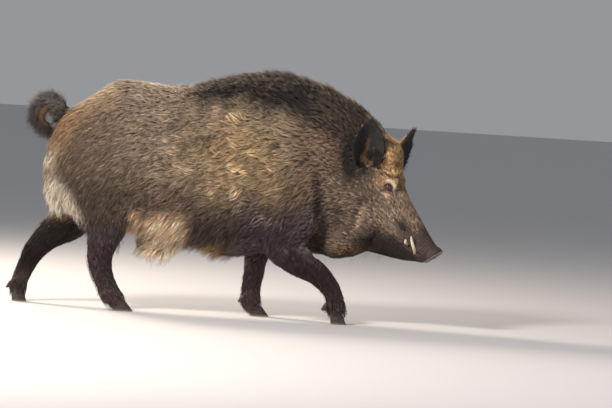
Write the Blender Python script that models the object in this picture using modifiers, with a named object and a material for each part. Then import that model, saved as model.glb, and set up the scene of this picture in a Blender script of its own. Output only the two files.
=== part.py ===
"""A walking wild boar, a big tusked male, as a still life-size model in separate named parts.

Metres, +Z up, the boar faces +X and its right side faces -Y. The soles stand on z = 0.
The flesh is modelled whole, out to the tips of the coat: lofts for the trunk, head and legs
are melted together by a voxel remesh, and the result is parted by thin box-shaped cuts.
Eyes, tusks, ears, tail, snout disc, hooves and dewclaws are pieces of their own, let into it.
"""

import math

import bmesh
import bpy
from mathutils import Matrix, Vector

# ---------------------------------------------------------------- driving sizes
CUT_GAP = 0.0008          # clear space between two parts of the flesh
SOCKET_GAP = 0.0006       # clear space round a piece that is let into the flesh
VOXEL = 0.0085            # cell of the remesh that melts the lofts together
SMOOTH_ROUNDS = 5         # rounds of smoothing after the remesh
FLESH_TRIANGLES = 3440    # what the whole flesh is thinned to
RING_POINTS = 28          # points round a trunk or head section
LIMB_POINTS = 12          # points round a leg section
STEPS_BETWEEN = 4         # sections interpolated between two given ones

HEAD_ORIGIN = Vector((0.505, -0.025, 0.550))   # middle of the head, below the ears
HEAD_PITCH = math.radians(45)                  # the head's axis points this far below level
HEAD_YAW = math.radians(-15)                   # and this far towards the boar's right
NECK_BENDS_FROM = 0.330                        # x where the neck starts to turn that way

# Trunk and neck sections, rump to nape:
# x, spine height, belly height, half width, height of the widest place, fullness above, below
TRUNK_SECTIONS = (
    (-0.742, 0.640, 0.430, 0.060, 0.540, 2.0, 2.0),
    (-0.715, 0.715, 0.375, 0.105, 0.560, 1.9, 2.0),
    (-0.660, 0.770, 0.345, 0.145, 0.570, 1.8, 2.0),
    (-0.580, 0.825, 0.335, 0.168, 0.590, 1.8, 2.1),
    (-0.500, 0.883, 0.330, 0.178, 0.600, 1.7, 2.2),
    (-0.440, 0.893, 0.315, 0.180, 0.590, 1.7, 2.2),
    (-0.340, 0.885, 0.285, 0.172, 0.560, 1.8, 2.2),
    (-0.210, 0.880, 0.255, 0.178, 0.540, 1.8, 2.2),
    (-0.100, 0.914, 0.240, 0.188, 0.540, 1.7, 2.1),
    (0.030, 0.950, 0.235, 0.197, 0.560, 1.6, 1.9),
    (0.140, 0.959, 0.240, 0.199, 0.580, 1.6, 1.8),
    (0.230, 0.947, 0.250, 0.189, 0.590, 1.6, 1.7),
    (0.310, 0.922, 0.250, 0.168, 0.580, 1.7, 1.6),
    (0.390, 0.880, 0.245, 0.152, 0.540, 1.8, 1.6),
    (0.460, 0.842, 0.255, 0.140, 0.500, 1.9, 1.7),
    (0.520, 0.785, 0.290, 0.118, 0.480, 2.0, 2.0),
)

# Head sections along the head's own axis, nape to snout:
# forward, top, bottom, half width, height of the widest place, fullness above, below
HEAD_SECTIONS = (
    (-0.150, 0.140, -0.160, 0.090, -0.010, 2.0, 2.0),
    (-0.070, 0.178, -0.220, 0.116, -0.030, 2.0, 2.0),
    (-0.010, 0.186, -0.255, 0.122, -0.060, 2.0, 1.9),
    (0.045, 0.140, -0.262, 0.118, -0.075, 1.9, 1.8),
    (0.095, 0.103, -0.250, 0.108, -0.080, 1.8, 1.7),
    (0.150, 0.078, -0.215, 0.094, -0.070, 1.8, 1.7),
    (0.205, 0.066, -0.178, 0.076, -0.055, 2.0, 1.8),
    (0.260, 0.054, -0.140, 0.060, -0.040, 2.2, 1.9),
    (0.310, 0.042, -0.104, 0.050, -0.026, 2.3, 2.0),
    (0.345, 0.038, -0.070, 0.043, -0.014, 2.3, 2.2),
    (0.372, 0.038, -0.050, 0.041, -0.004, 2.3, 2.3),
)

# Legs, from inside the trunk down to the hooves: x, y, z, half depth, half width
LEGS = {
    "foreleg_right": (
        (0.190, -0.105, 0.420, 0.110, 0.062),
        (0.185, -0.118, 0.310, 0.098, 0.056),
        (0.245, -0.118, 0.238, 0.068, 0.050),
        (0.325, -0.112, 0.190, 0.050, 0.043),
        (0.374, -0.106, 0.142, 0.041, 0.040),
        (0.398, -0.102, 0.098, 0.036, 0.034),
        (0.408, -0.100, 0.062, 0.037, 0.037),
        (0.414, -0.100, 0.034, 0.031, 0.035),
    ),
    "foreleg_left": (
        (0.130, 0.105, 0.420, 0.105, 0.062),
        (0.098, 0.116, 0.300, 0.080, 0.056),
        (0.083, 0.114, 0.215, 0.050, 0.046),
        (0.078, 0.108, 0.150, 0.044, 0.042),
        (0.071, 0.103, 0.095, 0.040, 0.035),
        (0.077, 0.100, 0.060, 0.040, 0.038),
        (0.092, 0.100, 0.034, 0.034, 0.036),
    ),
    "hindleg_right": (
        (-0.545, -0.085, 0.560, 0.165, 0.085),
        (-0.525, -0.095, 0.440, 0.140, 0.082),
        (-0.492, -0.104, 0.330, 0.094, 0.066),
        (-0.503, -0.106, 0.255, 0.066, 0.048),
        (-0.510, -0.104, 0.195, 0.053, 0.041),
        (-0.496, -0.102, 0.135, 0.043, 0.036),
        (-0.472, -0.100, 0.085, 0.041, 0.036),
        (-0.452, -0.100, 0.055, 0.040, 0.038),
        (-0.424, -0.100, 0.034, 0.034, 0.036),
    ),
    "hindleg_left": (
        (-0.575, 0.085, 0.540, 0.150, 0.085),
        (-0.600, 0.095, 0.420, 0.125, 0.082),
        (-0.650, 0.104, 0.322, 0.088, 0.062),
        (-0.722, 0.108, 0.262, 0.060, 0.047),
        (-0.772, 0.106, 0.205, 0.049, 0.040),
        (-0.800, 0.103, 0.145, 0.038, 0.035),
        (-0.820, 0.101, 0.095, 0.034, 0.034),
        (-0.827, 0.100, 0.062, 0.034, 0.036),
        (-0.824, 0.100, 0.036, 0.030, 0.034),
    ),
}

# Muscles and pads of hair that the lofts alone don't give: x, y, z and the three radii
BODY_MASSES = (
    ((0.200, -0.120, 0.480), (0.140, 0.086, 0.220)),    # shoulder and upper arm, right
    ((0.170, 0.120, 0.480), (0.140, 0.086, 0.220)),     # left
    ((-0.530, -0.108, 0.520), (0.150, 0.082, 0.200)),   # haunch, right
    ((-0.570, 0.108, 0.510), (0.150, 0.082, 0.200)),    # left
    ((-0.630, 0.000, 0.540), (0.122, 0.125, 0.190)),    # rump
    ((-0.290, 0.000, 0.262), (0.105, 0.055, 0.066)),    # sheath and the long hair round it
    ((-0.020, 0.000, 0.262), (0.120, 0.085, 0.050)),    # brisket
    ((0.385, -0.020, 0.325), (0.085, 0.085, 0.085)),    # throat hair
    ((0.470, -0.010, 0.680), (0.105, 0.100, 0.125)),    # mane between neck and ears
)
# The same in the head's own axes, each made on both sides
HEAD_MASSES = (
    ((-0.040, 0.050, 0.110), (0.075, 0.055, 0.065)),    # crown of the head below each ear
    ((0.048, 0.054, 0.082), (0.050, 0.024, 0.030)),     # brow
    ((0.075, 0.082, -0.100), (0.100, 0.034, 0.105)),    # cheek and its hair
    ((0.322, 0.030, -0.026), (0.050, 0.021, 0.028)),    # lip over the tusks
)

# Boxes that part the flesh, in this order. Each has its look, two opposite corners in its own
# axes, the place of its origin, and how far its X turns down and then to the left.
MOUTH = HEAD_ORIGIN + Vector((0.101, -0.027, -0.174))   # corner of the mouth, on the middle plane
REGIONS = {
    "lower_jaw": (
        "coat", (0.0, -0.2, -0.2), (0.3, 0.2, 0.0), MOUTH, HEAD_PITCH - math.radians(8.4), HEAD_YAW,
    ),
    "head": (
        "coat", (0.0, -0.3, -0.284), (0.6, 0.3, 0.45), HEAD_ORIGIN + Vector((-0.105, 0.0, 0.0)),
        math.radians(23), HEAD_YAW / 2,
    ),
    "neck": (
        "coat", (0.0, -0.3, 0.0), (0.5, 0.3, 0.8), Vector((0.303, 0.0, 0.335)),
        math.radians(4), math.radians(-4),
    ),
    "foreleg_right_lower": (
        "leg_coat", (-0.12, -0.14, -0.25), (0.12, 0.07, 0.0), Vector((0.370, -0.10, 0.147)),
        math.radians(-36), 0.0,
    ),
    "foreleg_right_upper": (
        "leg_coat", (-0.03, -0.22, -0.2), (0.35, 0.038, 0.0), Vector((0.110, -0.10, 0.236)),
        math.radians(-13), 0.0,
    ),
    "foreleg_left_lower": (
        "leg_coat", (-0.12, -0.07, -0.25), (0.12, 0.14, 0.0), Vector((0.078, 0.10, 0.148)),
        math.radians(-3), 0.0,
    ),
    "foreleg_left_upper": (
        "leg_coat", (-0.075, -0.055, -0.15), (0.08, 0.2, 0.0), Vector((0.086, 0.10, 0.218)),
        0.0, 0.0,
    ),
    "hindleg_right_lower": (
        "leg_coat", (-0.12, -0.14, -0.25), (0.16, 0.07, 0.0), Vector((-0.510, -0.10, 0.200)),
        0.0, 0.0,
    ),
    "hindleg_right_upper": (
        "coat", (-0.22, -0.2, -0.4), (0.13, 0.07, 0.0), Vector((-0.520, -0.10, 0.385)),
        math.radians(10), 0.0,
    ),
    "hindleg_left_lower": (
        "leg_coat", (-0.12, -0.07, -0.3), (0.16, 0.14, 0.0), Vector((-0.776, 0.10, 0.202)),
        math.radians(34), 0.0,
    ),
    "hindleg_left_upper": (
        "coat", (-0.25, -0.07, -0.3), (0.15, 0.2, 0.0), Vector((-0.640, 0.10, 0.380)),
        math.radians(0), 0.0,
    ),
}

EAR_LENGTH, EAR_THICKNESS = 0.185, 0.009
EAR_ROUNDING = 0.15       # how far the ear's edges fall short of its middle line, as a share
# Up the ear: share of its length, radius of the cup, half the angle that the cup spans
EAR_SECTIONS = (
    (0.00, 0.032, 2.10),
    (0.20, 0.056, 1.60),
    (0.45, 0.084, 1.00),
    (0.70, 0.084, 0.80),
    (0.88, 0.070, 0.76),
    (1.00, 0.052, 0.52),
)
# Base of each ear, the way its tip points, and the way its hollow faces
EARS = {
    "right": ((0.468, -0.116, 0.620), (0.16, -0.26, 1.0), (0.36, -0.92, -0.10)),
    "left": ((0.557, 0.062, 0.620), (0.62, 0.24, 0.80), (0.84, -0.38, -0.30)),
}

EYE_RADIUS = 0.0135
EYE_PLACE = Vector((0.0745, 0.0715, 0.055))         # left eye, in the head's axes

DISC_HALF_HEIGHT, DISC_HALF_WIDTH, DISC_DEPTH, DISC_RIM = 0.0435, 0.043, 0.028, 0.005
DISC_CENTRE = Vector((0.371, 0.0, 0.001))          # middle of the snout disc, in the head's axes
DISC_PITCH = math.radians(9)                       # its face looks this much further down
NOSTRIL_RADIUS, NOSTRIL_OFFSET, NOSTRIL_RISE, NOSTRIL_DEPTH = 0.0085, 0.0165, 0.002, 0.014

# Teeth on the left side, in the head's axes: forward, out, up, radius
TUSK_PATH = (
    (0.322, 0.022, -0.048, 0.0085),
    (0.329, 0.036, -0.040, 0.0088),
    (0.318, 0.0475, -0.031, 0.0084),
    (0.301, 0.0570, -0.021, 0.0074),
    (0.285, 0.0640, -0.011, 0.0056),
    (0.272, 0.0685, -0.001, 0.0022),
)
UPPER_TUSK_PATH = (
    (0.284, 0.030, -0.030, 0.0090),
    (0.281, 0.047, -0.037, 0.0088),
    (0.275, 0.0590, -0.036, 0.0074),
    (0.269, 0.0670, -0.026, 0.0042),
)

TAIL_PATH = (
    (-0.650, 0.000, 0.690, 0.026, 0.026),
    (-0.684, -0.002, 0.735, 0.032, 0.028),
    (-0.706, -0.006, 0.771, 0.034, 0.027),
    (-0.739, -0.010, 0.787, 0.038, 0.027),
    (-0.771, -0.014, 0.768, 0.038, 0.027),
    (-0.786, -0.018, 0.731, 0.034, 0.026),
    (-0.774, -0.021, 0.697, 0.029, 0.024),
    (-0.750, -0.022, 0.680, 0.024, 0.021),
    (-0.728, -0.022, 0.684, 0.012, 0.012),
)

# Feet: x of the heel and of the toe on the floor, y, height of the hoof, how far its top leans back
FEET = {
    "foreleg_right": (0.386, 0.448, -0.100, 0.050, 0.012),
    "foreleg_left": (0.074, 0.148, 0.100, 0.046, 0.024),
    "hindleg_right": (-0.446, -0.370, -0.100, 0.046, 0.026),
    "hindleg_left": (-0.852, -0.796, 0.100, 0.052, 0.006),
}
HOOF_SPREAD, HOOF_HALF_WIDTH = 0.0175, 0.0155
DEWCLAW_HEIGHT, DEWCLAW_SPREAD, DEWCLAW_RADIUS, DEWCLAW_LENGTH = 0.062, 0.023, 0.011, 0.030
DEWCLAW_BACK = {
    "foreleg_right": 0.026, "foreleg_left": 0.038, "hindleg_right": 0.044, "hindleg_left": 0.012,
}

LOOKS = {
    "coat": ((0.115, 0.085, 0.060), 0.85),
    "leg_coat": ((0.040, 0.030, 0.028), 0.85),
    "ear": ((0.055, 0.048, 0.045), 0.85),
    "horn": ((0.030, 0.026, 0.024), 0.45),
    "ivory": ((0.720, 0.660, 0.520), 0.30),
    "eye": ((0.030, 0.015, 0.010), 0.08),
    "nose": ((0.130, 0.085, 0.095), 0.40),
}


# ---------------------------------------------------------------- helpers
def clear_scene():
    for old in list(bpy.data.objects):
        bpy.data.objects.remove(old)


def new_collection(name):
    made = bpy.data.collections.new(name)
    bpy.context.scene.collection.children.link(made)
    return made


def finish(name, look):
    """A Principled BSDF material for the object of that name."""
    colour, roughness = LOOKS[look]
    made = bpy.data.materials.new(name)
    made.use_nodes = True
    shader = made.node_tree.nodes["Principled BSDF"]
    shader.inputs["Base Color"].default_value = (*colour, 1.0)
    shader.inputs["Roughness"].default_value = roughness
    shader.inputs["Metallic"].default_value = 0.0
    return made


def object_from(mesh_builder, name, look, collection):
    """A new object from a bmesh, which is freed."""
    mesh = bpy.data.meshes.new(name)
    bmesh.ops.recalc_face_normals(mesh_builder, faces=mesh_builder.faces)
    mesh_builder.to_mesh(mesh)
    mesh_builder.free()
    mesh.materials.append(finish(name, look))
    made = bpy.data.objects.new(name, mesh)
    collection.objects.link(made)
    return made


def helper_from(mesh_builder, name, collection):
    """A cutter: it is left out of the model."""
    made = object_from(mesh_builder, name, "coat", collection)
    made.hide_render = True
    made.display_type = "WIRE"
    return made


def settle(obj):
    """Applies the object's modifiers."""
    bpy.context.view_layer.update()
    graph = bpy.context.evaluated_depsgraph_get()
    mesh = bpy.data.meshes.new_from_object(obj.evaluated_get(graph))
    obj.modifiers.clear()
    obj.data = mesh
    return obj


def boolean(obj, other, operation):
    modifier = obj.modifiers.new(operation.title(), "BOOLEAN")
    modifier.operation = operation
    modifier.object = other
    return settle(obj)


def curve_between(rows, steps):
    """The rows with steps - 1 smooth ones added between each two, as a Catmull-Rom spline."""
    found = []
    last = len(rows) - 1
    for i in range(last):
        before, start = rows[max(i - 1, 0)], rows[i]
        end, after = rows[i + 1], rows[min(i + 2, last)]
        for k in range(steps):
            t = k / steps
            row = []
            for a, b, c, d in zip(before, start, end, after):
                bend = 2 * a - 5 * b + 4 * c - d + t * (3 * (b - c) + d - a)
                row.append(b + 0.5 * t * (c - a + t * bend))
            found.append(tuple(row))
    found.append(tuple(rows[last]))
    return found


def loft(rings):
    """A closed bmesh through rings of points, with a cap on each end."""
    made = bmesh.new()
    rows = [[made.verts.new(point) for point in ring] for ring in rings]
    count = len(rings[0])
    for row, following in zip(rows, rows[1:]):
        for i in range(count):
            j = (i + 1) % count
            made.faces.new((row[i], row[j], following[j], following[i]))
    made.faces.new(rows[0])
    made.faces.new(reversed(rows[-1]))
    return made


def bent(value, power):
    """value, from -1 to 1, raised to a power with its sign kept."""
    return math.copysign(abs(value) ** power, value)


def section(top, bottom, half_width, widest, above, below):
    """Points (across, up) of an egg-shaped section. Fullness 2 is an ellipse, less is a ridge."""
    points = []
    for i in range(RING_POINTS):
        turn = 2 * math.pi * i / RING_POINTS
        fullness = above if math.sin(turn) > 0 else below
        reach = (top - widest) if math.sin(turn) > 0 else (widest - bottom)
        points.append(
            (
                half_width * bent(math.cos(turn), 2 / fullness),
                widest + reach * bent(math.sin(turn), 2 / fullness),
            )
        )
    return points


# ---------------------------------------------------------------- flesh
def head_axes():
    turn = Matrix.Rotation(HEAD_YAW, 4, "Z") @ Matrix.Rotation(HEAD_PITCH, 4, "Y")
    return Matrix.Translation(HEAD_ORIGIN) @ turn


def trunk_loft():
    rings = []
    for x, top, bottom, half_width, widest, above, below in curve_between(TRUNK_SECTIONS, STEPS_BETWEEN):
        bend = max(0.0, x - NECK_BENDS_FROM) * math.tan(HEAD_YAW / 2)
        outline = section(top, bottom, half_width, widest, above, below)
        rings.append([(x, bend + across, up) for across, up in outline])
    return loft(rings)


def head_loft():
    axes = head_axes()
    rings = []
    for forward, top, bottom, half_width, widest, above, below in curve_between(HEAD_SECTIONS, STEPS_BETWEEN):
        outline = section(top, bottom, half_width, widest, above, below)
        rings.append([axes @ Vector((forward, across, up)) for across, up in outline])
    return loft(rings)


def limb_loft(joints, steps=STEPS_BETWEEN):
    """A leg or tail: oval rings square to the path through its joints."""
    rows = curve_between(joints, steps)
    rings = []
    for i, (x, y, z, half_depth, half_width) in enumerate(rows):
        before, after = rows[max(i - 1, 0)], rows[min(i + 1, len(rows) - 1)]
        along = (Vector(after[:3]) - Vector(before[:3])).normalized()
        deep = Vector((0, 1, 0)).cross(along).normalized()
        wide = along.cross(deep)
        ring = []
        for k in range(LIMB_POINTS):
            turn = 2 * math.pi * k / LIMB_POINTS
            reach = half_depth * math.cos(turn) * deep + half_width * math.sin(turn) * wide
            ring.append(Vector((x, y, z)) + reach)
        rings.append(ring)
    return loft(rings)


def mass(centre, radii, axes):
    made = bmesh.new()
    place = axes @ Matrix.Translation(centre) @ Matrix.Diagonal((*radii, 1.0))
    bmesh.ops.create_uvsphere(made, u_segments=20, v_segments=12, radius=1.0, matrix=place)
    return made


def whole_flesh(collection):
    """Trunk, head and legs as one closed skin at the tips of the coat."""
    pieces = [trunk_loft(), head_loft()]
    pieces += [limb_loft(leg) for leg in LEGS.values()]
    pieces += [mass(centre, radii, Matrix.Identity(4)) for centre, radii in BODY_MASSES]
    for (forward, side, up), radii in HEAD_MASSES:
        pieces += [mass((forward, sign * side, up), radii, head_axes()) for sign in (1, -1)]
    joined = bmesh.new()
    for piece in pieces:
        bmesh.ops.recalc_face_normals(piece, faces=piece.faces)
        scratch = bpy.data.meshes.new("scratch")
        piece.to_mesh(scratch)
        piece.free()
        joined.from_mesh(scratch)
        bpy.data.meshes.remove(scratch)
    flesh = object_from(joined, "trunk", "coat", collection)
    melt = flesh.modifiers.new("Melt", "REMESH")
    melt.mode = "VOXEL"
    melt.voxel_size = VOXEL
    smooth = flesh.modifiers.new("Smooth", "SMOOTH")
    smooth.factor = 0.5
    smooth.iterations = SMOOTH_ROUNDS
    settle(flesh)
    thin = flesh.modifiers.new("Thin", "DECIMATE")
    thin.use_collapse_triangulate = True
    thin.ratio = FLESH_TRIANGLES / (2 * len(flesh.data.polygons))
    return settle(flesh)


# ---------------------------------------------------------------- pieces let into the flesh
def ear(name, base, up, opening, collection):
    """A cupped leaf. up is the way its tip points and opening the way its cup faces."""
    rows = curve_between(EAR_SECTIONS, 1)
    made = bmesh.new()
    bmesh.ops.create_grid(made, x_segments=6, y_segments=len(rows) - 1, size=1.0)
    up = Vector(up).normalized()
    side = up.cross(Vector(opening)).normalized()
    front = side.cross(up)
    for vertex in made.verts:
        share, radius, half_angle = rows[round((vertex.co.y + 1) / 2 * (len(rows) - 1))]
        angle = vertex.co.x * half_angle
        cup = radius * (1 - math.cos(angle)) * front + radius * math.sin(angle) * side
        droop = EAR_ROUNDING * share * vertex.co.x ** 2
        vertex.co = Vector(base) + cup + EAR_LENGTH * (share - droop) * up
    piece = object_from(made, name, "ear", collection)
    shell = piece.modifiers.new("Shell", "SOLIDIFY")
    shell.thickness = EAR_THICKNESS
    shell.offset = 0.0
    return settle(piece)


def eye(name, side, collection):
    made = bmesh.new()
    place = head_axes() @ Matrix.Translation((EYE_PLACE.x, side * EYE_PLACE.y, EYE_PLACE.z))
    bmesh.ops.create_uvsphere(made, u_segments=12, v_segments=7, radius=EYE_RADIUS, matrix=place)
    return object_from(made, name, "eye", collection)


def snout_disc(collection, hosts, helpers):
    """The bare oval pad at the end of the snout, let into its hosts, with its two nostrils."""
    forward = Matrix.Rotation(math.pi / 2, 4, "Y")
    place = head_axes() @ Matrix.Translation(DISC_CENTRE) @ Matrix.Rotation(DISC_PITCH, 4, "Y")
    made = bmesh.new()
    shape = Matrix.Diagonal((1.0, DISC_HALF_WIDTH, DISC_HALF_HEIGHT, 1.0)) @ forward
    bmesh.ops.create_cone(
        made, cap_ends=True, segments=18, radius1=0.9, radius2=1.0, depth=DISC_DEPTH, matrix=place @ shape
    )
    disc = object_from(made, "snout_disc", "nose", collection)
    rim = disc.modifiers.new("Rim", "BEVEL")
    rim.width = DISC_RIM
    rim.segments = 1
    rim.limit_method = "ANGLE"
    settle(disc)
    let_in(disc, hosts, helpers)
    for side in (1, -1):
        hole = bmesh.new()
        at = Matrix.Translation((DISC_DEPTH / 2, side * NOSTRIL_OFFSET, NOSTRIL_RISE))
        bmesh.ops.create_cone(
            hole,
            cap_ends=True,
            segments=8,
            radius1=0.7 * NOSTRIL_RADIUS,
            radius2=NOSTRIL_RADIUS,
            depth=2 * NOSTRIL_DEPTH,
            matrix=place @ at @ forward,
        )
        boolean(disc, helper_from(hole, f"nostril_{side}", helpers), "DIFFERENCE")


def tusk(name, path, side, collection):
    """A curved tooth: a bevelled curve that thins to its tip, made a mesh."""
    curve = bpy.data.curves.new(name, "CURVE")
    curve.dimensions = "3D"
    curve.bevel_depth = 1.0
    curve.bevel_resolution = 1
    curve.use_fill_caps = True
    rows = curve_between(path, 2)
    spline = curve.splines.new("POLY")
    spline.points.add(len(rows) - 1)
    for point, (forward, out, up, radius) in zip(spline.points, rows):
        point.co = (*(head_axes() @ Vector((forward, side * out, up))), 1.0)
        point.radius = radius
    source = bpy.data.objects.new(name + "_curve", curve)
    collection.objects.link(source)
    bpy.context.view_layer.update()
    graph = bpy.context.evaluated_depsgraph_get()
    mesh = bpy.data.meshes.new_from_object(source.evaluated_get(graph))
    bpy.data.objects.remove(source)
    welded = bmesh.new()
    welded.from_mesh(mesh)
    bmesh.ops.remove_doubles(welded, verts=welded.verts, dist=1e-5)
    return object_from(welded, name, "ivory", collection)


def hoof(name, foot, side, collection):
    """One half of a cloven foot: a blunt wedge, flat on the floor."""
    heel, tip, y, height, lean = foot
    made = bmesh.new()
    bmesh.ops.create_cone(made, cap_ends=True, segments=10, radius1=1.0, radius2=0.82, depth=1.0)
    for vertex in made.verts:
        share = vertex.co.z + 0.5
        narrowing = 1.0 - 0.3 * max(0.0, vertex.co.x)
        x = heel + (tip - heel) * (0.5 + 0.5 * vertex.co.x) - lean * share
        across = side * HOOF_SPREAD + HOOF_HALF_WIDTH * vertex.co.y * narrowing
        rise = height * share * (1 - 0.2 * vertex.co.x)
        vertex.co = Vector((x, y + across, rise))
    return object_from(made, name, "horn", collection)


def dewclaw(name, foot, side, back, collection):
    """One of the two small raised hooves behind a foot. back is how far behind its heel."""
    heel, tip, y, height, lean = foot
    made = bmesh.new()
    place = Matrix.Translation((heel - back, y + side * DEWCLAW_SPREAD, DEWCLAW_HEIGHT))
    bmesh.ops.create_cone(
        made,
        cap_ends=True,
        segments=6,
        radius1=0.45 * DEWCLAW_RADIUS,
        radius2=DEWCLAW_RADIUS,
        depth=DEWCLAW_LENGTH,
        matrix=place @ Matrix.Rotation(math.radians(40), 4, "Y"),
    )
    return object_from(made, name, "horn", collection)


def let_in(piece, hosts, helpers):
    """Cuts a socket for piece, SOCKET_GAP wider all round, in each host."""
    swollen = bmesh.new()
    swollen.from_mesh(piece.data)
    bmesh.ops.triangulate(swollen, faces=swollen.faces)
    swollen.to_mesh(piece.data)
    for vertex in swollen.verts:
        vertex.co += SOCKET_GAP * vertex.calc_shell_factor() * vertex.normal
    socket = helper_from(swollen, piece.name + "_socket", helpers)
    for host in hosts:
        boolean(host, socket, "DIFFERENCE")


# ---------------------------------------------------------------- parting the flesh
def box(name, corner, far_corner, place, helpers):
    """A box cutter between two corners in the axes of place."""
    made = bmesh.new()
    low, high = Vector(corner), Vector(far_corner)
    size = Matrix.Diagonal((*(high - low), 1.0))
    matrix = place @ Matrix.Translation((low + high) / 2) @ size
    bmesh.ops.create_cube(made, size=1.0, matrix=matrix)
    return helper_from(made, name, helpers)


def take_out(flesh, name, look, corner, far_corner, place, helpers):
    """Parts the flesh inside a box from the rest, CUT_GAP apart, and returns it."""
    piece = bpy.data.objects.new(name, flesh.data.copy())
    piece.data.materials.clear()
    piece.data.materials.append(finish(name, look))
    flesh.users_collection[0].objects.link(piece)
    margin = Vector((CUT_GAP, CUT_GAP, CUT_GAP))
    inside = box(name + "_inside", Vector(corner) + margin, Vector(far_corner) - margin, place, helpers)
    outside = box(name + "_outside", corner, far_corner, place, helpers)
    boolean(piece, inside, "INTERSECT")
    boolean(flesh, outside, "DIFFERENCE")
    return piece


def part_flesh(flesh, helpers):
    """Divides the flesh into jaw, head, neck and legs; the trunk is what stays."""
    pieces = {}
    for name, (look, corner, far_corner, origin, turn_down, turn_left) in REGIONS.items():
        turn = Matrix.Rotation(turn_left, 4, "Z") @ Matrix.Rotation(turn_down, 4, "Y")
        place = Matrix.Translation(origin) @ turn
        pieces[name] = take_out(flesh, name, look, corner, far_corner, place, helpers)
    pieces["trunk"] = flesh
    return pieces


def centre_on_floor(objects):
    """Moves the meshes so that the middle of the boar's outline is over the origin."""
    corners = [vertex.co for obj in objects for vertex in obj.data.vertices]
    middle = [(min(c[i] for c in corners) + max(c[i] for c in corners)) / 2 for i in range(2)]
    shift = Matrix.Translation((-middle[0], -middle[1], 0.0))
    for obj in objects:
        obj.data.transform(shift)


def main():
    clear_scene()
    boar, helpers = new_collection("wild_boar"), new_collection("helpers")
    parts = part_flesh(whole_flesh(boar), helpers)
    head, jaw, trunk = parts["head"], parts["lower_jaw"], parts["trunk"]
    snout_disc(boar, (head, jaw), helpers)
    for side, sign in (("left", 1), ("right", -1)):
        let_in(ear(f"ear_{side}", *EARS[side], boar), (head, parts["neck"]), helpers)
        let_in(eye(f"eye_{side}", sign, boar), (head,), helpers)
        let_in(tusk(f"tusk_{side}", TUSK_PATH, sign, boar), (head, jaw), helpers)
        let_in(tusk(f"upper_tusk_{side}", UPPER_TUSK_PATH, sign, boar), (head, jaw), helpers)
    tail = object_from(limb_loft(TAIL_PATH, 2), "tail", "coat", boar)
    let_in(tail, (trunk,), helpers)
    for leg, foot in FEET.items():
        lower = parts[f"{leg}_lower"]
        for toe, sign in (("outer", 1), ("inner", -1)):
            side = sign if leg.endswith("left") else -sign
            let_in(hoof(f"{leg}_hoof_{toe}", foot, side, boar), (lower,), helpers)
            claw = dewclaw(f"{leg}_dewclaw_{toe}", foot, side, DEWCLAW_BACK[leg], boar)
            let_in(claw, (lower,), helpers)
    centre_on_floor([obj for obj in boar.objects])


main()
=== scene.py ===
"""The looks of a walking wild boar, life size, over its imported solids.

One skin stands for all the flesh and lies inside it by the coat's depth. A coat of bristle
tufts, real thin meshes, grows from the skin and follows the lie of the hair out to the solids'
outline. Eyes with lids, the snout disc, tusks, hooves and dewclaws are pieces of their own.
Metres, +Z up, the boar faces +X and its right side faces -Y, towards the camera.
"""

import math

import bmesh
import bpy
import numpy as np
from bpy.props import FloatProperty, FloatVectorProperty, IntProperty, PointerProperty
from mathutils import Matrix, Vector, kdtree
from mathutils.bvhtree import BVHTree


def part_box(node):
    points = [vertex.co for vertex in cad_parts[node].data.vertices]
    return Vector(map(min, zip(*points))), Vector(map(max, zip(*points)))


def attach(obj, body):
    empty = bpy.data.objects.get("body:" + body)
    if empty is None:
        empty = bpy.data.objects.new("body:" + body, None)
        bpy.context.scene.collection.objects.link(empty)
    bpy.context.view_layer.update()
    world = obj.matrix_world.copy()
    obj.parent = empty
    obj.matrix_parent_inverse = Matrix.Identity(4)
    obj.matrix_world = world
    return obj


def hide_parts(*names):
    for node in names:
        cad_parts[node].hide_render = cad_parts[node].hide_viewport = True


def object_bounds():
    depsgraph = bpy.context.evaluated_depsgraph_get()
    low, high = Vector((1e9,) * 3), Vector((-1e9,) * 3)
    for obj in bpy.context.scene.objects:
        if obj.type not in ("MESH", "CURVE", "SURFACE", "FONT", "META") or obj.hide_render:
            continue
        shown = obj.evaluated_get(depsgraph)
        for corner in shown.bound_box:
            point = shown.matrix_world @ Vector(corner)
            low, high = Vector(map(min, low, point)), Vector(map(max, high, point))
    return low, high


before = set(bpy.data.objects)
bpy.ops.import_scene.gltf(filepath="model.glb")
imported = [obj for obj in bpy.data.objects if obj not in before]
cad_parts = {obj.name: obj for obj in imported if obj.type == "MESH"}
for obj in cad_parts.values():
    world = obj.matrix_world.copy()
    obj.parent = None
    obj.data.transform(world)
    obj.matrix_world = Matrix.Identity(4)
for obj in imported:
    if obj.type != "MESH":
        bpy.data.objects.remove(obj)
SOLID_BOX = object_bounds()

bl_info = {
    "name": "Wild boar",
    "version": (1, 0, 0),
    "blender": (4, 5, 0),
    "location": "View3D > Sidebar > Boar",
    "description": "Builds the skin, coat and fittings of a life-size wild boar over its solids",
    "category": "Add Mesh",
}

# ---------------------------------------------------------------- the parts and their places
LEGS = ("foreleg_left", "foreleg_right", "hindleg_left", "hindleg_right")
FLESH = ("trunk", "neck", "head", "lower_jaw", "tail", "ear_left", "ear_right") + tuple(
    leg + length for leg in LEGS for length in ("_upper", "_lower")
)
PART = {name: index for index, name in enumerate(FLESH)}
HEAD = ("head", "lower_jaw")
UPPER_LEGS = tuple(leg + "_upper" for leg in LEGS)
LOWER_LEGS = tuple(leg + "_lower" for leg in LEGS)
SIDES = ("left", "right")
TOES = ("outer", "inner")
MERGE = 1e-5              # corners of a solid nearer than this are one
SWELL = 0.0006            # lets neighbouring solids overlap before they are melted together
QUAD_BEND = math.radians(40)    # two triangles flatter and squarer than this are joined to a quad
QUAD_SKEW = math.radians(50)
DISC_CELL = 0.0013        # cells in which the snout disc and the claws are remade
CLAW_CELL = 0.0016
CLAW_PAD = Vector((0.0155, 0.0155, 0.0215))     # half the size of the flesh that holds a dewclaw
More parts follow.
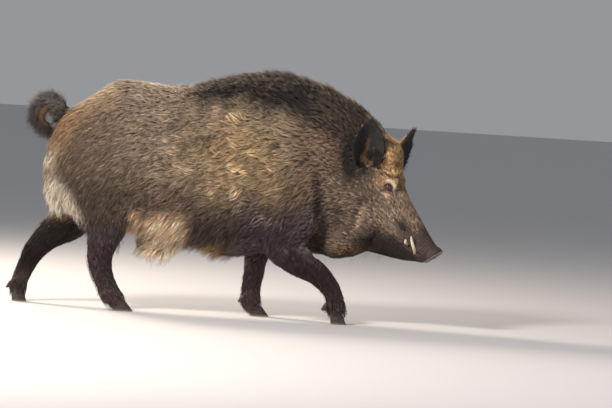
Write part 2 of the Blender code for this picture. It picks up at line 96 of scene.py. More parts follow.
PAD_WAY = Vector((0.80, 0.0, 0.60))             # from a dewclaw to the middle of its pad
PAD_OFF = 0.020                                 # and how far that is


def middle(node):
    """Middle of a solid's box."""
    low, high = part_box(node)
    return (low + high) / 2


HEAD_SWING = math.radians(-15)                  # the head turns to the boar's right
HEAD_PITCH = math.radians(45)                   # and points this far down
HEAD_TURN = Matrix.Rotation(HEAD_SWING, 3, "Z") @ Matrix.Rotation(HEAD_PITCH, 3, "Y")
EYE_PLACE = Vector((0.0745, 0.0715, 0.055))     # left eye, in the head's own axes
EYE_RADIUS = 0.0135
EYE_OUT = -0.0030                               # how far the ball stands before its plain solid
CORNEA_RISE = 0.045                             # how far the cornea stands out, in radii of the ball
CORNEA_WIDTH = 0.55                             # and how wide it is, in radians
EYE_SLANT = math.radians(20)                    # the lids' length, against the head's pitch
OPENING = (0.0118, 0.0068)                      # half the length and height between the lids
LID_STEPS = 72                                  # corners round a lid
HEAD_ORIGIN = (middle("eye_left") + middle("eye_right")) / 2 - HEAD_TURN @ Vector(
    (EYE_PLACE.x, 0.0, EYE_PLACE.z)
)
DRAWN_HEAD_X = 0.505                            # the head's origin before the solids were centred
SHIFT = HEAD_ORIGIN.x - DRAWN_HEAD_X
DISC_CENTRE = Vector((0.371, 0.0, 0.001))       # middle of the snout disc, in the head's axes
DISC_PITCH = math.radians(9)
DISC_HALF = 0.043
NOSTRIL = Vector((0.0, 0.0165, 0.002))          # left nostril, from the middle of the disc
NOSTRIL_RADIUS = 0.0085
MOUTH_CORNER = Vector((0.101, -0.027, -0.174))  # from the head's origin, in level axes
MOUTH_RISE = math.radians(-8.4)                 # the mouth's plane, against the head's pitch

# Base of each ear, the way its tip points and the way its hollow faces
EARS = {
    "ear_right": ((0.468, -0.116, 0.620), (0.16, -0.26, 1.0), (0.36, -0.92, -0.10)),
    "ear_left": ((0.557, 0.062, 0.620), (0.62, 0.24, 0.80), (0.84, -0.38, -0.30)),
}
EAR_LENGTH = 0.185
# Up an ear: share of its length, radius of its cup, depth of the cup's lip and half its width there
EAR_HEIGHTS = (0.0, 0.20, 0.45, 0.70, 0.88, 1.0)
EAR_RADII = (0.032, 0.056, 0.084, 0.084, 0.070, 0.052)
EAR_LIPS = (0.048, 0.058, 0.039, 0.025, 0.019, 0.007)
EAR_WIDTHS = (0.032, 0.056, 0.071, 0.060, 0.048, 0.026)
# Middle line of the tail, root to tip: x, y, z
TAIL_LINE = (
    (-0.650, 0.000, 0.690), (-0.684, -0.002, 0.735), (-0.706, -0.006, 0.771),
    (-0.739, -0.010, 0.787), (-0.771, -0.014, 0.768), (-0.786, -0.018, 0.731),
    (-0.774, -0.021, 0.697), (-0.750, -0.022, 0.680), (-0.728, -0.022, 0.684),
)
TAIL_MIDDLE = (-0.740, -0.012, 0.732)           # inside the tail's curl

# The coat on each named part: depth from skin to tips, length and width of a tuft
HAIR = {
    "trunk": (0.017, 0.037, 0.0030),
    "neck": (0.017, 0.034, 0.0028),
    "head": (0.0065, 0.016, 0.0018),
    "lower_jaw": (0.006, 0.014, 0.0017),
    "tail": (0.016, 0.050, 0.0018),
    "ear": (0.0018, 0.012, 0.0015),
    "upper": (0.010, 0.028, 0.0032),
    "lower": (0.0045, 0.020, 0.0026),
}


# ---------------------------------------------------------------- small helpers
def shade(red, green, blue):
    """A screen colour, 0 to 255 each, as the linear colour that the sockets take."""
    levels = [level / 255 for level in (red, green, blue)]
    return tuple(v / 12.92 if v <= 0.04045 else ((v + 0.055) / 1.055) ** 2.4 for v in levels)


def ramp(values, low, high):
    """0 at low, 1 at high and an S-curve between; low may be the larger."""
    share = np.clip((values - low) / (high - low), 0.0, 1.0)
    return share * share * (3.0 - 2.0 * share)


def spot(points, centre, radii):
    """1 at the middle of a soft ellipsoid and nearly 0 at twice its radii."""
    return np.exp(-(((points - np.array(centre)) / np.array(radii)) ** 2).sum(1))


def band(values, start, full, fade, end):
    """0 up to start, 1 between full and fade, and 0 again from end on."""
    return ramp(values, start, full) * ramp(values, end, fade)


def bell(values, centre, width):
    """1 at the centre and nearly 0 at twice the width from it."""
    return np.exp(-((values - centre) / width) ** 2)


def blend(first, second, share):
    """Rows drawn from the first towards the second, by a share for each row."""
    return first + (second - first) * share[:, None]


def unit(vectors):
    """Rows brought to length 1."""
    return vectors / np.maximum(np.linalg.norm(vectors, axis=1, keepdims=True), 1e-9)


def on_parts(labels, *names):
    """1 for each point on one of the named parts, 0 for the others."""
    return np.isin(labels, [PART[name] for name in names]).astype(float)


def head_axes(points):
    """Points as forward, left, up in the head's own axes."""
    return (points - np.array(HEAD_ORIGIN)) @ np.array(HEAD_TURN)


def eye_axes(sign):
    """Middle of an eyeball and its axes: along the lids to the front, up, and the line of sight."""
    gaze = (HEAD_TURN @ Vector((0.22, sign, 0.10))).normalized()
    ahead = HEAD_TURN @ Vector((math.cos(EYE_SLANT), 0.0, math.sin(EYE_SLANT)))
    ahead = (ahead - gaze * ahead.dot(gaze)).normalized()
    top = ahead.cross(gaze) * sign
    centre = middle("eye_left" if sign > 0 else "eye_right") + gaze * EYE_OUT
    return centre, Matrix((ahead, top, gaze)).transposed()


def by_eye(points):
    """Points as ahead, up and out from the middle of the eye on their own side."""
    left = head_axes(points)[:, 1]
    places = np.empty_like(points)
    for sign in (1, -1):
        centre, axes = eye_axes(sign)
        mine = left * sign > 0
        places[mine] = (points[mine] - np.array(centre)) @ np.array(axes)
    return places


def by_ear(points, name):
    """Points by one ear: share of its length, place across it and depth in front of its middle."""
    base, way, hollow = EARS[name]
    way = np.array(Vector(way).normalized())
    across = unit(np.cross(way, np.array(hollow))[None])[0]
    offset = points - centred(base)
    return offset @ way / EAR_LENGTH, offset @ across, offset @ np.cross(across, way)


def almond(ahead, top):
    """How far out a place is on the almond between the lids: 1 on its edge."""
    return np.abs(top) / OPENING[1] + (ahead / OPENING[0]) ** 2


def centred(point):
    """A place from the solids' own script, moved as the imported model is."""
    return np.array((point[0] + SHIFT, point[1], point[2]))


def wander(points, scale, seed):
    """A smooth random field between about -1 and 1, with hills about scale metres apart."""
    draw = np.random.RandomState(seed)
    total = np.zeros(len(points))
    for _ in range(6):
        way = draw.normal(size=3)
        way /= np.linalg.norm(way)
        total += np.sin(points @ way * (2.0 * math.pi / scale) * draw.uniform(0.6, 1.5)
                        + draw.uniform(0.0, 6.3))
    return total / 2.6


def linked(name, data):
    """A new object in the scene, holding a mesh, a lamp or a camera."""
    obj = bpy.data.objects.new(name, data)
    bpy.context.scene.collection.objects.link(obj)
    return obj


def finished(name, work, look=None):
    """Turns a bmesh into an object with its look, smooth shaded."""
    mesh = bpy.data.meshes.new(name)
    work.to_mesh(mesh)
    work.free()
    mesh.shade_smooth()
    if look:
        mesh.materials.append(look)
    return linked(name, mesh)


def settle(obj):
    """Applies an object's modifiers to its mesh."""
    graph = bpy.context.evaluated_depsgraph_get()
    mesh = bpy.data.meshes.new_from_object(obj.evaluated_get(graph))
    obj.modifiers.clear()
    old = obj.data
    obj.data = mesh
    bpy.data.meshes.remove(old)


def remade(obj, cell):
    """Makes an object's mesh anew as one closed surface of small cells."""
    remesh = obj.modifiers.new("Remade", "REMESH")
    remesh.mode = "VOXEL"
    remesh.voxel_size = cell
    settle(obj)


def solid_copy(name, swell=0.0):
    """A bmesh of a solid with its corners merged, swollen a little along its normals."""
    work = bmesh.new()
    work.from_mesh(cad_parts[name].data)
    bmesh.ops.remove_doubles(work, verts=work.verts, dist=MERGE)
    work.normal_update()
    for vert in work.verts:
        vert.co += vert.normal * swell
    return work


def read(mesh, what, name, width, kind=np.float64):
    """One value of every vertex, edge or triangle as rows of an array."""
    items = getattr(mesh, what)
    values = np.empty(len(items) * width, kind)
    items.foreach_get(name, values)
    return values.reshape(-1, width)


def vertex_places(mesh):
    """Place of every vertex."""
    return read(mesh, "vertices", "co", 3)


def vertex_normals(mesh):
    """Normal at every vertex."""
    return read(mesh, "vertex_normals", "vector", 3)


def edge_ends(mesh):
    """The two vertices of every edge."""
    return read(mesh, "edges", "vertices", 2, np.int32)


def write_points(mesh, points):
    """Moves a mesh's vertices to the given places."""
    mesh.vertices.foreach_set("co", points.astype(np.float32).ravel())
    mesh.update()


def neighbour_mean(values, edges):
    """Mean of what each point's neighbours hold, one row to a point."""
    ends = np.concatenate((edges[:, 0], edges[:, 1]))
    others = np.concatenate((edges[:, 1], edges[:, 0]))
    degree = np.maximum(np.bincount(ends, minlength=len(values)), 1)
    sums = [np.bincount(ends, values[others, c], len(values)) for c in range(values.shape[1])]
    return np.stack(sums, 1) / degree[:, None]


def relaxed(values, edges, share, rounds):
    """Values drawn towards their neighbours' mean, by share in each round."""
    for _ in range(rounds):
        values = values + (neighbour_mean(values, edges) - values) * share
    return values


def faired(points, edges, share, rounds):
    """Places smoothed without shrinking: each round draws in, then lets out."""
    for _ in range(rounds):
        points = points + (neighbour_mean(points, edges) - points) * (0.60 * share)
        points = points - (neighbour_mean(points, edges) - points) * (0.61 * share)
    return points


def paint(mesh, name, colours):
    """Keeps one colour to a vertex, for the materials to read."""
    layer = mesh.attributes.new(name, "FLOAT_COLOR", "POINT")
    rows = np.ones((len(mesh.vertices), 4), np.float32)
    rows[:, :3] = np.clip(colours, 0.0, 1.0)
    layer.data.foreach_set("color", rows.ravel())


def stands_for(piece, slot, *nodes):
    """Says what a finished piece moves with and takes the place of; its slot is not used."""
    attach(piece, "root")
    if nodes:
        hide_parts(*nodes)


# ---------------------------------------------------------------- settings a user would change
class BoarSkinSettings(bpy.types.PropertyGroup):
    """How finely the skin is made."""

    cell: FloatProperty(
        name="Skin cell", description="Cell of the remesh that melts the flesh into one skin",
        default=0.0034, min=0.002, max=0.01, unit="LENGTH",
    )
    faces: IntProperty(
        name="Skin faces", description="Most triangles that the skin is thinned to",
        default=125000, min=20000, max=190000,
    )
    rounds: IntProperty(
        name="Body smoothing", description="Rounds of smoothing, strongest over trunk and neck",
        default=60, min=0, max=200,
    )


class BoarCoatSettings(bpy.types.PropertyGroup):
    """Density and shape of the coat."""

    body_tufts: IntProperty(
        name="Body tufts", description="Tufts in each of the eight body pieces",
        default=24000, min=500, max=49000,
    )
    head_tufts: IntProperty(
        name="Head tufts", description="Tufts in each half of the head's coat",
        default=39500, min=500, max=49000,
    )
    leg_tufts: IntProperty(
        name="Leg tufts", description="Tufts in each pair of legs",
        default=14500, min=500, max=49000,
    )
    length: FloatProperty(
        name="Length of hair", description="Multiplies every tuft's length",
        default=1.0, min=0.3, max=2.0, subtype="FACTOR",
    )
    width: FloatProperty(
        name="Width of tufts", description="Multiplies every tuft's width",
        default=1.0, min=0.3, max=2.0, subtype="FACTOR",
    )
    grizzle: FloatProperty(
        name="Grizzle", description="How much paler the tips are than the shafts",
        default=1.0, min=0.0, max=2.0, subtype="FACTOR",
    )


def colour(name, words, default):
    """A colour setting."""
    return FloatVectorProperty(
        name=name, description=words, size=3, subtype="COLOR", min=0.0, max=1.0, default=default
    )


class BoarColours(bpy.types.PropertyGroup):
    """The finishes: each coat colour is that of the middle of a tuft."""

    back: colour("Back", "Grey-brown of the back and flanks", shade(105, 88, 75))
    # over the shoulder partly the coat's own colour and partly painted sunlight
    buff: colour("Buff", "Pale yellowish patch over the shoulder", shade(158, 132, 96))
    haunch: colour("Haunch", "Grey-brown of the haunch", shade(116, 98, 84))
    under: colour("Under", "Darker brown low on the flank", shade(92, 76, 68))
    mane: colour("Mane", "Slate of the crest, withers and nape", shade(29, 25, 28))
    chest: colour("Chest", "Purplish brown of chest and forearms", shade(97, 80, 89))
    leg: colour("Leg", "Near black of the legs", shade(86, 66, 75))
    # brighter than the hair's own pale colour: partly painted sunlight
    cream: colour("Cream", "Pale fringe of the belly", shade(255, 216, 178))
    # behind the thighs partly painted sunlight
    white: colour("White", "Whitish hair round the eyes and behind the thighs", shade(248, 234, 212))
    fringe: colour("Fringe", "Yellow-brown below the cream", shade(170, 126, 74))
    neck: colour("Neck", "Brown of neck and cheek", shade(106, 81, 65))
    # on the brow and the back of the thighs partly the coat's own colour and partly painted sunlight; on
    # the far ear's edge painted sunlight
    forehead: colour("Forehead", "Golden buff of the brow", shade(211, 162, 109))
    muzzle: colour("Muzzle", "Reddish brown of the muzzle", shade(80, 62, 58))
    # near black for the coat's dark marks, and also painted shade: neck fold, ear hollows, brow creases,
    # behind the elbow and the far hind leg
    shadow: colour("Shadow", "Near black of folds and dark marks", shade(34, 26, 26))
    ear: colour("Ear", "Charcoal of the ears", shade(44, 42, 46))
    ear_hair: colour("Ear hair", "Orange-brown hair in the ear", shade(128, 84, 46))
    tail: colour("Tail", "Blue-grey of the tail", shade(42, 42, 54))
    disc: colour("Snout disc", "Lavender pink of the snout disc", shade(104, 84, 98))
    ivory: colour("Ivory", "Worn ivory of the tusks", shade(226, 212, 184))
    horn: colour("Horn", "Dark horn of the hooves", shade(52, 44, 42))


class BoarStageSettings(bpy.types.PropertyGroup):
    """Camera and light."""

    distance: FloatProperty(
        name="Camera distance", description="From the point looked at to the camera",
        default=14.0, min=2.0, unit="LENGTH",
    )
    height: FloatProperty(
        name="Elevation", description="Height angle of the camera over the horizon",
        default=math.radians(2.0), subtype="ANGLE",
    )
    roll: FloatProperty(
        name="Roll", description="How far the camera is rolled, for the sloping ground",
        default=math.radians(3.6), subtype="ANGLE",
    )
    lens: FloatProperty(
        name="Lens", description="Focal length in millimetres", default=213.9, min=10.0,
    )
    key: FloatProperty(
        name="Key light", description="Power of the key light in watts", default=320.0, min=0.0,
    )
    fill: FloatProperty(
        name="Fill light", description="Power of the fill light in watts", default=30.0, min=0.0,
    )
    rim: FloatProperty(
        name="Rim light", description="Power of the light behind", default=300.0, min=0.0,
    )


SETTINGS = {
    "boar_skin": BoarSkinSettings,
    "boar_coat": BoarCoatSettings,
    "boar_colours": BoarColours,
    "boar_stage": BoarStageSettings,
}


# ---------------------------------------------------------------- the markings
USUAL_PALE = 0.85         # how pale the tips get where nothing else is said


class Layers:
    """Colours laid over one another at points of the coat, and how pale the tips get there."""

    def __init__(self, points, labels):
        settings = bpy.context.scene.boar_colours
        self.hues = {name: np.array(getattr(settings, name)) for name in BoarColours.__annotations__}
        self.points = points
        self.labels = labels
        self.x, self.y, self.z = points.T
        self.profile = np.stack((self.x, self.z), 1)
        self.waver = wander(points, 0.16, 3) * 0.016 + wander(points, 0.05, 4) * 0.008
        self.long = self.x + self.waver
        self.high = self.z + self.waver
        self.face = on_parts(labels, *HEAD)
        self.leg = on_parts(labels, *UPPER_LEGS)
        self.foot = on_parts(labels, *LOWER_LEGS)
        self.tail = on_parts(labels, "tail")
        self.body = 1.0 - on_parts(labels, *HEAD, *LOWER_LEGS, *EARS, "tail")
        self.colours = np.tile(self.hues["back"], (len(points), 1))
        self.pale = np.full(len(points), USUAL_PALE)

    def lay(self, name, mask, pale=None):
        """Lays a colour over those below where the mask says, with its own paleness."""
        mask = np.clip(mask, 0.0, 1.0)
        self.colours = blend(self.colours, self.hues[name], mask)
        if pale is not None:
            self.pale = self.pale + (pale - self.pale) * mask

    def lay_all(self, where, *marks):
        """Lays several colours in turn on one part: the colour's name, mask and paleness each."""
        for name, mask, pale in marks:
            self.lay(name, mask * where, pale)


def mark_trunk(coat):
    """Haunch, flanks, the pale patch over the shoulder, neck and dark mane, with painted sunlight on
    shoulder and rump top and painted shade behind the elbow.
    """
    x, z, long, high, profile = coat.x, coat.z, coat.long, coat.high, coat.profile
    crest = 0.83 - 0.7 * np.clip(x - 0.12, 0.0, 0.4) ** 1.4
    mane = ramp(z + 0.5 * coat.waver, crest - 0.065, crest + 0.035) * ramp(long, -0.26, -0.02)
    coat.lay_all(
        coat.body,
        ("haunch", ramp(x, -0.36, -0.50), 0.45),
        ("under", ramp(high, 0.58, 0.42), 0.32),
        # the pale patch over the shoulder, partly its own colour and partly painted sunlight, the neck and
        # a paler place at its foot
        ("buff", 1.25 * spot(profile + coat.waver[:, None], (0.055, 0.625), (0.165, 0.135)), 0.65),
        ("neck", ramp(long, 0.20, 0.32) * ramp(z, 0.36, 0.50), 0.50),
        ("buff", 0.5 * spot(profile, (0.19, 0.50), (0.06, 0.12)), 0.6),
        # the mane over nape and withers, and fainter along the back
        ("mane", mane * (1.0 - 0.2 * ramp(x, 0.28, 0.36)), 0.02),
        ("mane", ramp(high, 0.870, 0.905) * ramp(x, -0.42, -0.22) * 0.6, 0.3),
        # the golden top of the rump, partly its own colour and partly painted sunlight, with a dark mark
        # before it
        ("buff", ramp(high, 0.72, 0.84) * ramp(x, -0.38, -0.47) * 0.75, 0.9),
        ("mane", spot(profile, (-0.40, 0.870), (0.05, 0.02)) * 0.6, 0.3),
        # darker low down: before the thigh and on chest and thigh, and painted shade behind the elbow
        ("under", spot(profile, (-0.455, 0.370), (0.075, 0.075)), 0.15),
        ("chest", ramp(high, 0.500, 0.370) * ramp(x, 0.00, 0.13), 0.10),
        ("chest", ramp(high, 0.370, 0.300) * ramp(x, -0.36, -0.44), 0.08),
        # painted shade under the body behind the elbow
        ("shadow", spot(profile, (-0.03, 0.340), (0.11, 0.055)) * 0.65, 0.10),
    )


def mark_belly(coat):
    """The cream fringe of the belly, partly its own pale colour and partly painted sunlight, yellow-brown
    below it and at its hind end.
    """
    x, high = coat.x, coat.high
    low = ramp(x, 0.05, -0.04) * ramp(coat.long, -0.400, -0.355)
    coat.lay_all(
        coat.body,
        # the cream fringe, painted brighter for the sunlight on it
        ("cream", ramp(high, 0.430, 0.335) * ramp(x, -0.10, -0.17) * low, 1.35),
        ("fringe", ramp(high, 0.300, 0.265) * ramp(x, -0.17, -0.09) * low, 0.8),
        ("fringe", spot(coat.profile, (-0.345, 0.335), (0.025, 0.030)) * 0.8, 0.5),
    )


def mark_thighs(coat):
    """Golden and whitish hair down the back of the thighs, partly its own colour and partly painted
    sunlight.
    """
    y, z = coat.y, coat.z
    edge = -0.700 + 0.66 * np.clip(0.517 - z, 0.0, 0.25) + 0.60 * np.clip(z - 0.60, 0.0, 0.2)
    behind = coat.long + 0.9 * np.clip(0.10 - np.abs(y), 0.0, 0.1) - edge
    far = spot(coat.profile, (-0.63, 0.340), (0.045, 0.040)) * ramp(y, 0.0, 0.03)
    coat.lay_all(
        coat.body,
        ("forehead", ramp(behind, 0.13, 0.03) * band(z, 0.52, 0.64, 0.80, 0.92) * 0.6, 0.7),
        ("white", ramp(behind, 0.080, 0.020) * band(z, 0.32, 0.37, 0.54, 0.66), 1.7),
        ("fringe", far * 0.8, 0.5),
    )


def mark_legs(coat):
    """Near black legs, with painted shade on the far hind leg, painted sunlight down the far foreleg's
    shin, and brown on the feet.
    """
    x, z, leg, foot = coat.x, coat.z, coat.leg, coat.foot
    far = ramp(coat.y, 0.0, 0.05)
    lit_shin = ramp(np.abs(x - 0.03), 0.055, 0.020) * band(z, 0.03, 0.08, 0.22, 0.28)
    coat.lay("leg", leg * ramp(coat.high, 0.32, 0.22), 0.06)
    coat.lay("leg", foot, 0.05)
    # painted shade on the far hind leg
    coat.lay("shadow", (foot + leg * ramp(z, 0.40, 0.30)) * far * ramp(x, -0.40, -0.60) * 0.97, 0.02)
    # painted sunlight down the far foreleg's shin
    coat.lay("fringe", (foot + leg) * far * lit_shin * 0.6, 0.5)
    coat.lay("muzzle", foot * 0.6 * band(z, 0.03, 0.07, 0.10, 0.17), 0.4)


def paint_neck_fold_shade(coat):
    """Painted shade in the fold between neck and shoulder."""
    z = coat.z
    fold = 0.346 + 0.06 * np.clip(0.62 - z, 0.0, 1.0) + 0.10 * np.clip(0.42 - z, 0.0, 0.2)
    dark = bell(coat.x, fold, 0.015) * band(z, 0.22, 0.30, 0.54, 0.64)
    coat.lay("shadow", dark * coat.body * 0.75, 0.05)


def mark_face(coat):
    """Brow, cheek with its pale stripe, speckled muzzle and dark jaw."""
    points = coat.points
    forward, left, up = head_axes(points).T
    folded = np.stack((forward, up), 1)
    cheek = ramp(np.abs(left), 0.03, 0.06)
    stripe = forward - 0.100 + 0.50 * (up + 0.092)
    along = band(up, -0.150, -0.125, -0.055, -0.030)
    speckle = ramp(wander(points, 0.008, 8), -0.2, 0.6)
    ragged = up + 0.010 * wander(points, 0.018, 9) + 0.006 * wander(points, 0.007, 10)
    coat.lay_all(
        coat.face,
        ("neck", 1.0, 0.78),
        ("under", 0.4, 0.62),
        # the golden brow, partly its own colour and partly painted sunlight, the bridge of the nose and
        # the darker underside
        ("forehead", ramp(up, 0.055, 0.090) * band(forward, -0.10, -0.02, 0.10, 0.20), 0.6),
        ("neck", ramp(forward, 0.12, 0.20) * ramp(up, -0.02, 0.04) * 0.5, 0.8),
        ("under", ramp(up, -0.06, -0.15) * 0.9, 0.45),
        # the pale stripe down the cheek, dark behind it, and dark marks below and behind the eye
        ("shadow", cheek * bell(stripe, -0.024, 0.014) * along * 0.55, 0.2),
        ("cream", cheek * bell(stripe, 0.0, 0.007) * along * 0.50, 0.9),
        ("shadow", cheek * spot(folded, (0.058, -0.036), (0.018, 0.034)) * 0.55, 0.2),
        ("shadow", cheek * spot(folded, (-0.020, 0.030), (0.030, 0.055)) * 0.70, 0.1),
        # the muzzle, speckled with pale hair and dark towards the snout
        ("muzzle", cheek * spot(folded, (0.145, 0.004), (0.080, 0.055)) * 0.95, 0.55),
        ("cream", cheek * speckle * spot(folded, (0.170, 0.004), (0.055, 0.038)) * 0.35, 1.4),
        ("muzzle", ramp(forward, 0.240, 0.290), 0.12),
        ("shadow", cheek * spot(folded, (0.228, -0.004), (0.042, 0.022)), 0.03),
        # the dark jaw with its ragged edge
        ("shadow", ramp(forward, 0.09, 0.20) * ramp(ragged, -0.045, -0.085) * 0.95, 0.03),
        ("shadow", ramp(forward, 0.17, 0.25) * ramp(ragged, -0.036, -0.062) * 0.95, 0.02),
    )
    jowl = ramp(coat.z, 0.315, 0.280) * band(coat.x, 0.40, 0.46, 0.54, 0.60)
    coat.lay("fringe", (coat.face + coat.body) * jowl * 0.35, 0.4)


def mark_eyes(coat):
    """Pale rings round the eyes, with painted shade in the brow creases, and dark tear lines and lids."""
    points = coat.points
    ahead, above, _ = by_eye(points).T
    lids = np.stack((ahead, above), 1)
    turn = np.arctan2(above, ahead)
    ring = bell(np.hypot(ahead, above), 0.0240, 0.0058) * band(turn, -0.5, -0.1, 2.2, 2.7)
    arch = 0.038 - 6.0 * np.clip(np.abs(ahead) - 0.015, 0.0, 0.06) ** 2
    brow = bell(above, arch, 0.0050) * ramp(np.abs(ahead + 0.01), 0.05, 0.035)
    tear = bell(above + 0.80 * (ahead - 0.014), -0.004, 0.0030)
    coat.lay_all(
        coat.face * (np.abs(head_axes(points)[:, 1]) > 0.035),
        ("forehead", spot(lids, (-0.034, 0.004), (0.020, 0.022)) * 0.5, 0.6),
        ("cream", spot(lids, (0.010, -0.031), (0.013, 0.010)) * 0.8, 0.9),
        ("white", ring * 0.80, 1.1),
        # painted shade in the crease over the eye
        ("shadow", brow * 0.9, 0.1),
        ("shadow", tear * band(ahead, 0.010, 0.014, 0.026, 0.036) * 0.95, 0.1),
        ("shadow", ramp(almond(ahead, above), 2.0, 1.4), 0.1),
    )


def mark_ears(coat):
    """Charcoal ears with dark rims, orange-brown hair in the hollow and gold at the base; painted shade
    where head and neck show in each hollow, and painted sunlight on the far ear's edge.
    """
    near = coat.face + coat.body
    for name in EARS:
        height, off, deep = by_ear(coat.points, name)
        rows = (EAR_RADII, EAR_LIPS, EAR_WIDTHS)
        radius, lip, wide = (np.interp(height, EAR_HEIGHTS, row) for row in rows)
        inner = ramp(deep - radius + np.sqrt(np.maximum(radius ** 2 - off ** 2, 0.0)), -0.001, 0.001)
        root_x, root_y, root_z = centred(EARS[name][0])
        behind = spot(coat.profile, (root_x - 0.036, root_z + 0.014), (0.038, 0.085)) * 1.6
        coat.lay("shadow", near * behind * ramp(coat.y * math.copysign(1.0, root_y), -0.01, 0.03), 0.02)
        # painted shade on head and neck where they show in the ear's hollow
        coat.lay_all(
            band(deep, -0.012, -0.002, lip - 0.006, lip + 0.006) * ramp(height, 0.03, 0.12)
            * ramp(np.abs(off), wide + 0.006, wide - 0.008) * near,
            ("shadow", 1.0, 0.04),
            ("ear_hair", bell(off, 0.002, 0.010), 0.4),
            ("forehead", bell(off, -0.004, 0.011) * ramp(height, 0.28, 0.12) * 0.8, 0.6),
        )
        ragged = off + wander(coat.points, 0.03, 6) * 0.003
        gold = spot(np.stack((ragged, height), 1), (-0.004, 0.08), (0.010, 0.09))
        hair = bell(ragged, 0.004, 0.006) * band(height, 0.0, 0.15, 0.45, 0.70)
        this = on_parts(coat.labels, name)
        coat.lay_all(
            this,
            ("ear", 1.0, 0.12),
            ("shadow", ramp(np.abs(off), wide - 0.012, wide - 0.002) * 0.7, 0.0),
            ("shadow", inner * bell(ragged, -0.016, 0.014) * ramp(height, 0.80, 0.5) * 0.6, None),
            ("ear_hair", inner * hair * 0.75, 0.4),
            ("forehead", inner * gold * 0.8, 0.6),
        )
        # painted sunlight along the far ear's edge
        if name == "ear_left":
            lit = (1.0 - 0.8 * inner) * ramp(ragged, 0.010, -0.008) * ramp(height, 1.00, 0.75)
            coat.lay("forehead", this * lit * 0.75, 0.6)


def mark_tail(coat):
    """Blue-grey tail, yellow-brown inside its curl."""
    inside = np.linalg.norm(coat.points - centred(TAIL_MIDDLE), axis=1)
    coat.lay_all(coat.tail, ("tail", 1.0, 0.30), ("fringe", ramp(inside, 0.048, 0.030) * 0.6, 0.3))


MARKS = (mark_trunk, mark_belly, mark_thighs, mark_legs, paint_neck_fold_shade, mark_face, mark_eyes, mark_ears,
         mark_tail)


def markings(points, labels):
    """Colour of the coat at each point, as in the middle of a tuft, and how pale its tip gets."""
    coat = Layers(points, labels)
    for mark in MARKS:
        mark(coat)
    return coat.colours, coat.pale


# ---------------------------------------------------------------- the skin
class Hide:
    """The finished skin as arrays that the coat grows from."""

    def __init__(self, mesh, labels, hair, lie):
        mesh.calc_loop_triangles()
        self.points = vertex_places(mesh)
        self.normals = vertex_normals(mesh)
        self.triangles = read(mesh, "loop_triangles", "vertices", 3, np.int32)
        self.labels = labels
        self.hair = hair
        self.lie = lie
        self.tree = BVHTree.FromPolygons(self.points.tolist(), self.triangles.tolist())

    def under(self, points):
        """Nearest places on the skin and the skin's normals there."""
        places = np.empty_like(points)
        normals = np.empty_like(points)
        find = self.tree.find_nearest
        for row, point in enumerate(points.tolist()):
            place, normal, _, _ = find(point)
            places[row] = place
            normals[row] = normal
        return places, normals


HIDE = {}
WRINKLE = 0.0105          # from one wrinkle of the muzzle to the next
# How strongly the finer parts are smoothed, against 1 on the body
FAIRING = ((HEAD, 0.45), (tuple(EARS), 0.22), (LOWER_LEGS, 0.5), (("tail",), 0.3))


def nearest_parts(points):
    """Which flesh solid each point lies nearest to; the tail's root counts as trunk."""
    corners, faces, owner = [], [], []
    for index, name in enumerate(FLESH):
        work = solid_copy(name)
        start = len(corners)
        corners.extend(vert.co.copy() for vert in work.verts)
        work.verts.index_update()
        faces.extend([start + vert.index for vert in face.verts] for face in work.faces)
        owner.extend([index] * len(work.faces))
        work.free()
    tree = BVHTree.FromPolygons(corners, faces)
    labels = np.array([owner[tree.find_nearest(point)[2]] for point in points.tolist()])
    share, _ = along_line(points, TAIL_LINE)
    labels[(labels == PART["tail"]) & (share < 0.10)] = PART["trunk"]
    return labels


def rounded(obj):
    """Turns a solid's triangles back to quads where they are flat and smooths it by subdivision."""
    work = bmesh.new()
    work.from_mesh(obj.data)
    bmesh.ops.join_triangles(
        work, faces=work.faces, angle_face_threshold=QUAD_BEND, angle_shape_threshold=QUAD_SKEW
    )
    work.to_mesh(obj.data)
    work.free()
    smooth = obj.modifiers.new("Rounded", "SUBSURF")
    smooth.levels = 2
    smooth.render_levels = 2
    settle(obj)


def dewclaws():
    """Middles of all the dewclaws."""
    return [middle(f"{leg}_dewclaw_{toe}") for leg in LEGS for toe in TOES]


def melted_flesh(cell):
    """All the flesh as one closed mesh, by a voxel remesh of the overlapping solids."""
    whole = bmesh.new()
    for name in FLESH + ("eye_left", "eye_right", "snout_disc"):
        solid = finished(name + "_flesh", solid_copy(name, SWELL))
        if name in EARS:
            rounded(solid)
        whole.from_mesh(solid.data)
        bpy.data.meshes.remove(solid.data)
    for claw in dewclaws():
        pad = Matrix.LocRotScale(claw + PAD_WAY * PAD_OFF, PAD_WAY.to_track_quat("Z", "Y"), CLAW_PAD)
        bmesh.ops.create_icosphere(whole, subdivisions=2, radius=1.0, matrix=pad)
    skin = finished("skin", whole)
    remade(skin, cell)
    return skin


def largest_body(mesh):
    """Deletes all but the largest separate body of a mesh, such as bubbles left inside."""
    work = bmesh.new()
    work.from_mesh(mesh)
    seen, bodies = set(), []
    for start in work.verts:
        if start in seen:
            continue
        body, front = [start], [start]
        seen.add(start)
        while front:
            vert = front.pop()
            for edge in vert.link_edges:
                other = edge.other_vert(vert)
                if other not in seen:
                    seen.add(other)
                    body.append(other)
                    front.append(other)
        bodies.append(body)
    bodies.sort(key=len)
    spare = [vert for body in bodies[:-1] for vert in body]
    bmesh.ops.delete(work, geom=spare, context="VERTS")
    work.to_mesh(mesh)
    work.free()


def fair_skin(mesh, rounds):
    """Smooths the facets of the solids out of the skin: long on the body, short on the head."""
    points = vertex_places(mesh)
    edges = edge_ends(mesh)
    labels = nearest_parts(points)
    share = np.ones(len(points))
    for names, strength in FAIRING:
        share[on_parts(labels, *names) > 0.0] = strength
    share = relaxed(share[:, None], edges, 0.5, 12)
    write_points(mesh, faired(points, edges, share, rounds))
    return labels


